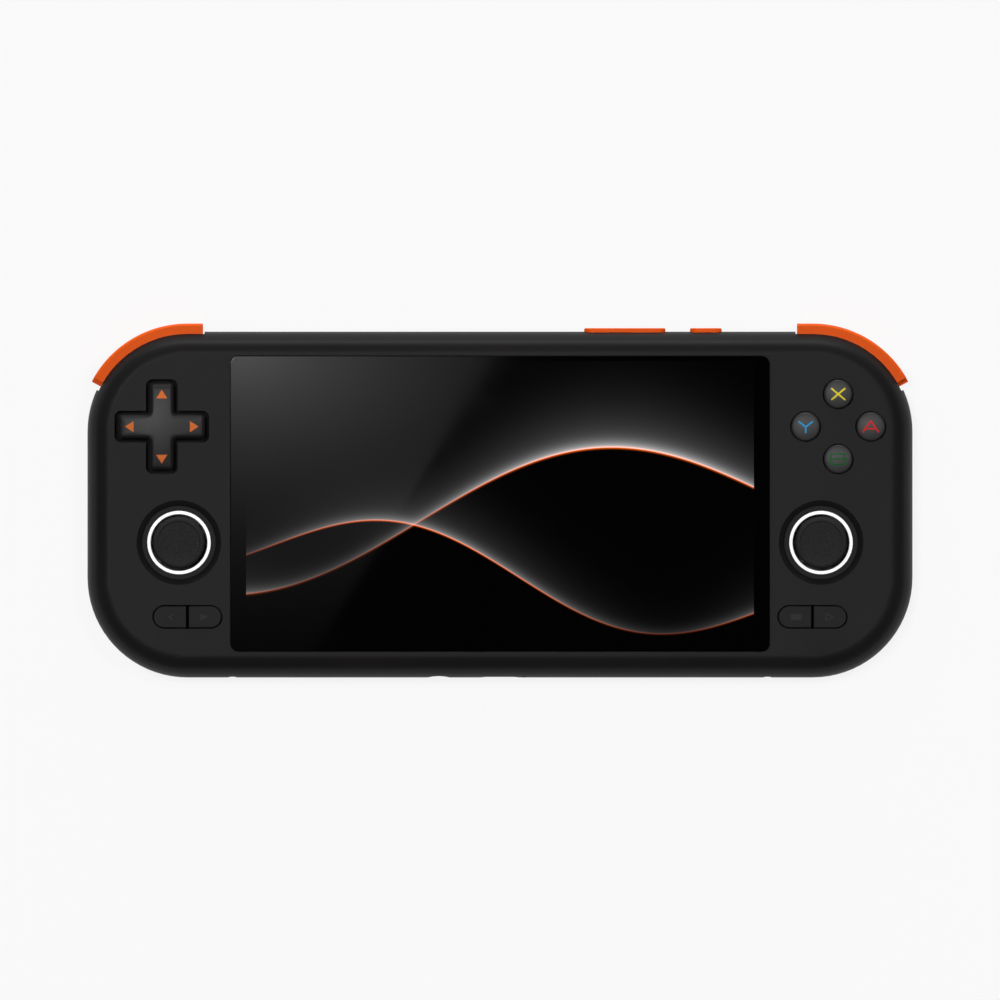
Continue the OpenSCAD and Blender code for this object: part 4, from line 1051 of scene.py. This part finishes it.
@dataclass
class Stick:
    """A thumb stick: a dished rubber cap with a raised rim, on a hub with a domed skirt."""

    side: Side
    centre_x: float = 77.0
    centre_y: float = -9.1
    pivot_z: float = 9.0
    top: float = 20.2
    low: float = 17.4
    radius: float = 6.25
    dish_r: float = 4.98
    dish_deep: float = 0.45
    dish_steps: int = 12
    lip_h: float = 0.4
    lip_w: float = 0.22
    crease: float = 0.02
    rim_w: float = 0.8
    rim_h: float = 1.75
    rim_steps: int = 12
    wall_h: float = 1.0
    foot_r: float = 0.7
    foot_steps: int = 8
    under_r: float = 4.2
    under_rise: float = 0.05
    hub_r: float = 3.2
    hub_fillet: float = 0.3
    skirt_r: float = 6.2
    skirt_t: float = 0.6
    skirt_deg: float = 48.0
    skirt_steps: int = 8
    hollow_steps: int = 12
    bore_r: float = 1.25
    bore_top: float = 18.6
    steps: int = 96

    def profile(self) -> list[Flat]:
        """Draw the cap's section, from the middle of its dish down to the top of its bore.

        Returns:
            Radius and height of each point.
        """
        ball = (self.dish_r ** 2 + self.dish_deep ** 2) / (2 * self.dish_deep)
        dish = [self.dish_r * k / self.dish_steps for k in range(self.dish_steps)]
        points: list[Flat] = []
        for r in [*dish, self.dish_r - self.crease, self.dish_r]:
            points.append((r, self.top - self.lip_h - self.dish_deep + ball - math.sqrt(ball ** 2 - r ** 2)))
        lip_r = self.dish_r + self.lip_w
        points += [(self.dish_r + self.crease, self.top - self.lip_h + self.crease),
                   (lip_r - self.crease, self.top - self.crease),
                   (lip_r, self.top), (lip_r + self.crease, self.top)]
        crown = self.radius - self.rim_w
        points += [(crown + self.rim_w * x, self.top - self.rim_h + self.rim_h * y)
                   for x, y in arc((0.0, 0.0), 1.0, 90, 0, self.rim_steps)]
        points += [(self.radius, self.low + self.wall_h)]
        foot = (self.radius - self.foot_r, self.low + self.foot_r)
        points += arc(foot, self.foot_r, 0, -90, self.foot_steps)
        points += [(self.under_r, self.low + self.under_rise), (self.hub_r + self.hub_fillet, self.low),
                   (self.hub_r, self.low - self.hub_fillet)]
        first = math.degrees(math.asin(self.hub_r / self.skirt_r))
        points += self.skirt(self.skirt_r, first, self.skirt_deg, self.skirt_steps)
        inner_r = self.skirt_r - self.skirt_t
        last = math.degrees(math.asin(self.bore_r / inner_r))
        points += self.skirt(inner_r, self.skirt_deg, last, self.hollow_steps)
        points += [(self.bore_r, self.bore_top), (0.0, self.bore_top)]
        return points

    def skirt(self, radius: float, first: float, last: float, steps: int) -> list[Flat]:
        """Draw one face of the skirt, on a ball round the pivot.

        Args:
            radius: The ball's radius.
            first: First angle from upright, in degrees.
            last: Last angle from upright, in degrees.
            steps: How many pieces the face has.

        Returns:
            Radius and height of each point.
        """
        angles = [math.radians(first + (last - first) * k / steps) for k in range(steps + 1)]
        return [(radius * math.sin(a), self.pivot_z + radius * math.cos(a)) for a in angles]

    def build(self) -> None:
        """Turn the cap and let it stand for the plain one."""
        points, faces = revolve(self.profile(), (self.side.value * self.centre_x, self.centre_y), self.steps)
        piece = add_piece(f"{self.side.word}_thumb_cap", points, faces, RUBBER, f"{self.side.word}_stick")
        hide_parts(f"{self.side.word}_stick_cap")


@dataclass
class EdgeKeys:
    """Bumpers, triggers and the keys of the top edge, all moulded in orange."""

    bumper_edge: EdgeBreak = EdgeBreak(0.3, 3)
    trigger_edge: EdgeBreak = EdgeBreak(0.2, 3)
    key_edge: EdgeBreak = EdgeBreak(0.3, 3)

    def dress(self) -> None:
        """Round the keys' edges."""
        for side in Side:
            self.bumper_edge.apply(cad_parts[f"{side.word}_bumper"])
            self.trigger_edge.apply(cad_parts[f"{side.word}_trigger"])
        for name in ("volume_key", "power_key"):
            self.key_edge.apply(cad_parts[name])


@dataclass(frozen=True)
class Softbox:
    """One lamp of the studio, with its sizes in metres.

    Its share is the light on a level face, where 1 shows a colour as it is written.
    """

    name: str
    place: Spot
    wide: float
    high: float
    share: float

    def hang(self) -> None:
        """Hang the lamp and aim it at the object, with the power that its share needs."""
        data = bpy.data.lights.new(self.name, "AREA")
        data.shape = "RECTANGLE"
        data.size, data.size_y = self.wide, self.high
        at = Vector(self.place)
        slant = at.z / at.length
        data.energy = math.pi ** 2 * self.share * at.length_squared / slant
        lamp = show(self.name, data)
        lamp.location = at
        lamp.rotation_mode = "QUATERNION"
        lamp.rotation_quaternion = (-at).to_track_quat("-Z", "Y")
        lamp.visible_camera = False


@dataclass
class Studio:
    """The pale floor, the soft light and the camera straight above the screen.

    The sizes of the panel that the glass mirrors are those of its picture on the glass.
    """

    floor_m: float = 9.0
    floor_aside_m: float = 1.0
    floor_gap_mm: float = 0.3
    floor_tone: str = "#FBFBFB"
    floor_shine: float = 0.9
    image_mm: float = 239.8
    aim: Spot = (0.0, 1.1, 16.0)
    distance_m: float = 10.0
    clip_m: float = 60.0
    sensor_mm: float = 36.0
    panel_m: float = 4.0
    panel_corners: tuple[Flat, ...] = ((45.0, 111.6), (-60.2, -61.5), (-180.0, -61.5), (-180.0, 111.6))
    panel_middle: Flat = (-62.3, 36.5)
    panel_fade: Flat = (32.2, 18.5)
    panel_level: float = 2.0
    wall_level: float = 0.18
    wall_stops: Flat = (0.45, 0.85)
    lamps: tuple[Softbox, ...] = (
        Softbox("softbox_key", (-0.48, 0.36, 3.4), wide=0.5, high=0.5, share=0.5),
        Softbox("softbox_fill", (0.9, 0.5, 3.0), wide=0.5, high=0.5, share=0.24),
        Softbox("softbox_rim", (0.0, 2.2, 0.12), wide=1.6, high=0.2, share=0.04),
    )

    def floor(self) -> None:
        """Lay the floor: near white when seen or mirrored, with the object's shadow, and clear from below.

        It lies to one side, so that the seam between its two triangles doesn't run under the object.
        """
        half, low = self.floor_m, -self.floor_gap_mm * MM
        left, right = self.floor_aside_m - half, self.floor_aside_m + half
        mesh = bpy.data.meshes.new("studio_floor")
        mesh.from_pydata([(left, -half, low), (right, -half, low), (right, half, low), (left, half, low)], [],
                         [[0, 1, 2, 3]])
        paper = blank_material("paper_backdrop_matt_white")
        tree = paper.node_tree
        rays = add_node(tree, "ShaderNodeLightPath")
        seen = add_node(tree, "ShaderNodeMath", {
            0: rays.outputs["Is Camera Ray"], 1: rays.outputs["Is Glossy Ray"]}, operation="MAXIMUM")
        through = add_node(tree, "ShaderNodeMath", {
            0: seen.outputs[0], 1: rays.outputs["Is Transmission Ray"]}, operation="MAXIMUM")
        share = add_node(tree, "ShaderNodeMath", {
            0: through.outputs[0], 1: self.floor_shine}, operation="MULTIPLY")
        matt = add_node(tree, "ShaderNodeBsdfDiffuse", {"Color": linear(self.floor_tone)})
        white = add_node(tree, "ShaderNodeEmission", {"Color": linear(self.floor_tone), "Strength": 1.0})
        mixed = add_node(tree, "ShaderNodeMixShader", {
            0: share.outputs[0], 1: matt.outputs["BSDF"], 2: white.outputs["Emission"]})
        under = add_node(tree, "ShaderNodeNewGeometry").outputs["Backfacing"]
        clear = add_node(tree, "ShaderNodeBsdfTransparent")
        sided = add_node(tree, "ShaderNodeMixShader", {
            0: under, 1: mixed.outputs["Shader"], 2: clear.outputs["BSDF"]})
        add_node(tree, "ShaderNodeOutputMaterial", {"Surface": sided.outputs["Shader"]})
        mesh.materials.append(paper)
        ground = show("studio_floor", mesh)

    def reflector(self) -> None:
        """Hang the lit cloth whose slanted edge the glass mirrors, brightest at its middle."""
        spread = MM * (1 + self.panel_m / self.distance_m)
        (middle_x, middle_y), (fade_x, fade_y) = self.panel_middle, self.panel_fade
        mesh = bpy.data.meshes.new("studio_reflector")
        corners = [(x * spread, y * spread, self.panel_m) for x, y in self.panel_corners]
        mesh.from_pydata(corners, [], [list(range(len(corners)))])
        cloth = blank_material("softbox_cloth_lit")
        tree = cloth.node_tree
        place = add_node(tree, "ShaderNodeTexCoord").outputs["Object"]
        shift = add_node(tree, "ShaderNodeMapping", {
            "Vector": place, "Location": (-middle_x / fade_x, -middle_y / fade_y, 0.0),
            "Scale": (1 / (fade_x * spread), 1 / (fade_y * spread), 0.0)})
        far = add_node(tree, "ShaderNodeVectorMath", {0: shift.outputs["Vector"]}, operation="LENGTH")
        falls = add_node(tree, "ShaderNodeMath", {0: far.outputs["Value"], 1: -1.0}, operation="MULTIPLY")
        bright = add_node(tree, "ShaderNodeMath", {0: falls.outputs[0]}, operation="EXPONENT")
        level = add_node(tree, "ShaderNodeMath", {
            0: bright.outputs[0], 1: self.panel_level}, operation="MULTIPLY")
        glow = add_node(tree, "ShaderNodeEmission", {"Color": WHITE, "Strength": level.outputs[0]})
        add_node(tree, "ShaderNodeOutputMaterial", {"Surface": glow.outputs["Emission"]})
        mesh.materials.append(cloth)
        panel = show("studio_reflector", mesh)
        panel.visible_camera = False
        panel.visible_diffuse = False

    def light(self) -> None:
        """Make the walls grey and the ceiling dark, and hang the lamps out of the glass's mirror."""
        world = bpy.data.worlds.new("studio_room")
        world.use_nodes = True
        tree = world.node_tree
        towards = add_node(tree, "ShaderNodeTexCoord").outputs["Generated"]
        height = add_node(tree, "ShaderNodeSeparateXYZ", {0: towards}).outputs["Z"]
        walls = add_node(tree, "ShaderNodeValToRGB", {"Fac": height},
                         stops=[*zip(self.wall_stops, (scaled(WHITE, self.wall_level), BLACK))])
        feed(tree, tree.nodes["Background"], {"Color": walls.outputs["Color"]})
        bpy.context.scene.world = world
        for lamp in self.lamps:
            lamp.hang()

    def camera(self) -> None:
        """Set the camera straight above the screen, far off, so that the sides don't show."""
        data = bpy.data.cameras.new("studio_camera")
        data.sensor_width = self.sensor_mm
        data.lens = self.sensor_mm * self.distance_m / (self.image_mm * MM)
        data.clip_end = self.clip_m
        camera = show("studio_camera", data)
        x, y, z = (value * MM for value in self.aim)
        camera.location = (x, y, z + self.distance_m)
        bpy.context.scene.camera = camera

    def build(self) -> None:
        """Set up floor, light and camera, and show colours plainly."""
        self.floor()
        self.reflector()
        self.light()
        self.camera()
        bpy.context.scene.view_settings.view_transform = "Standard"


def dress_nodes() -> None:
    """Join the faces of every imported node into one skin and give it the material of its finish."""
    finishes = node_finishes()
    for name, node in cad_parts.items():
        join = node.modifiers.new("join", "WELD")
        join.merge_threshold = WELD_MM * MM
        node.data.materials.clear()
        node.data.materials.append(finishes[name].material())
        LOG.info("node %s: %s", name, finishes[name].name)


def main() -> None:
    """Build the console's looks piece by piece, then the studio round it."""
    logging.basicConfig(level=logging.INFO, format="%(name)s: %(message)s")
    dress_nodes()
    Case().dress()
    CrossKey().build()
    FaceKeys().build()
    MenuKeys().build()
    for side in Side:
        Stick(side).build()
    EdgeKeys().dress()
    Studio().build()


if __name__ == "__main__":
    main()
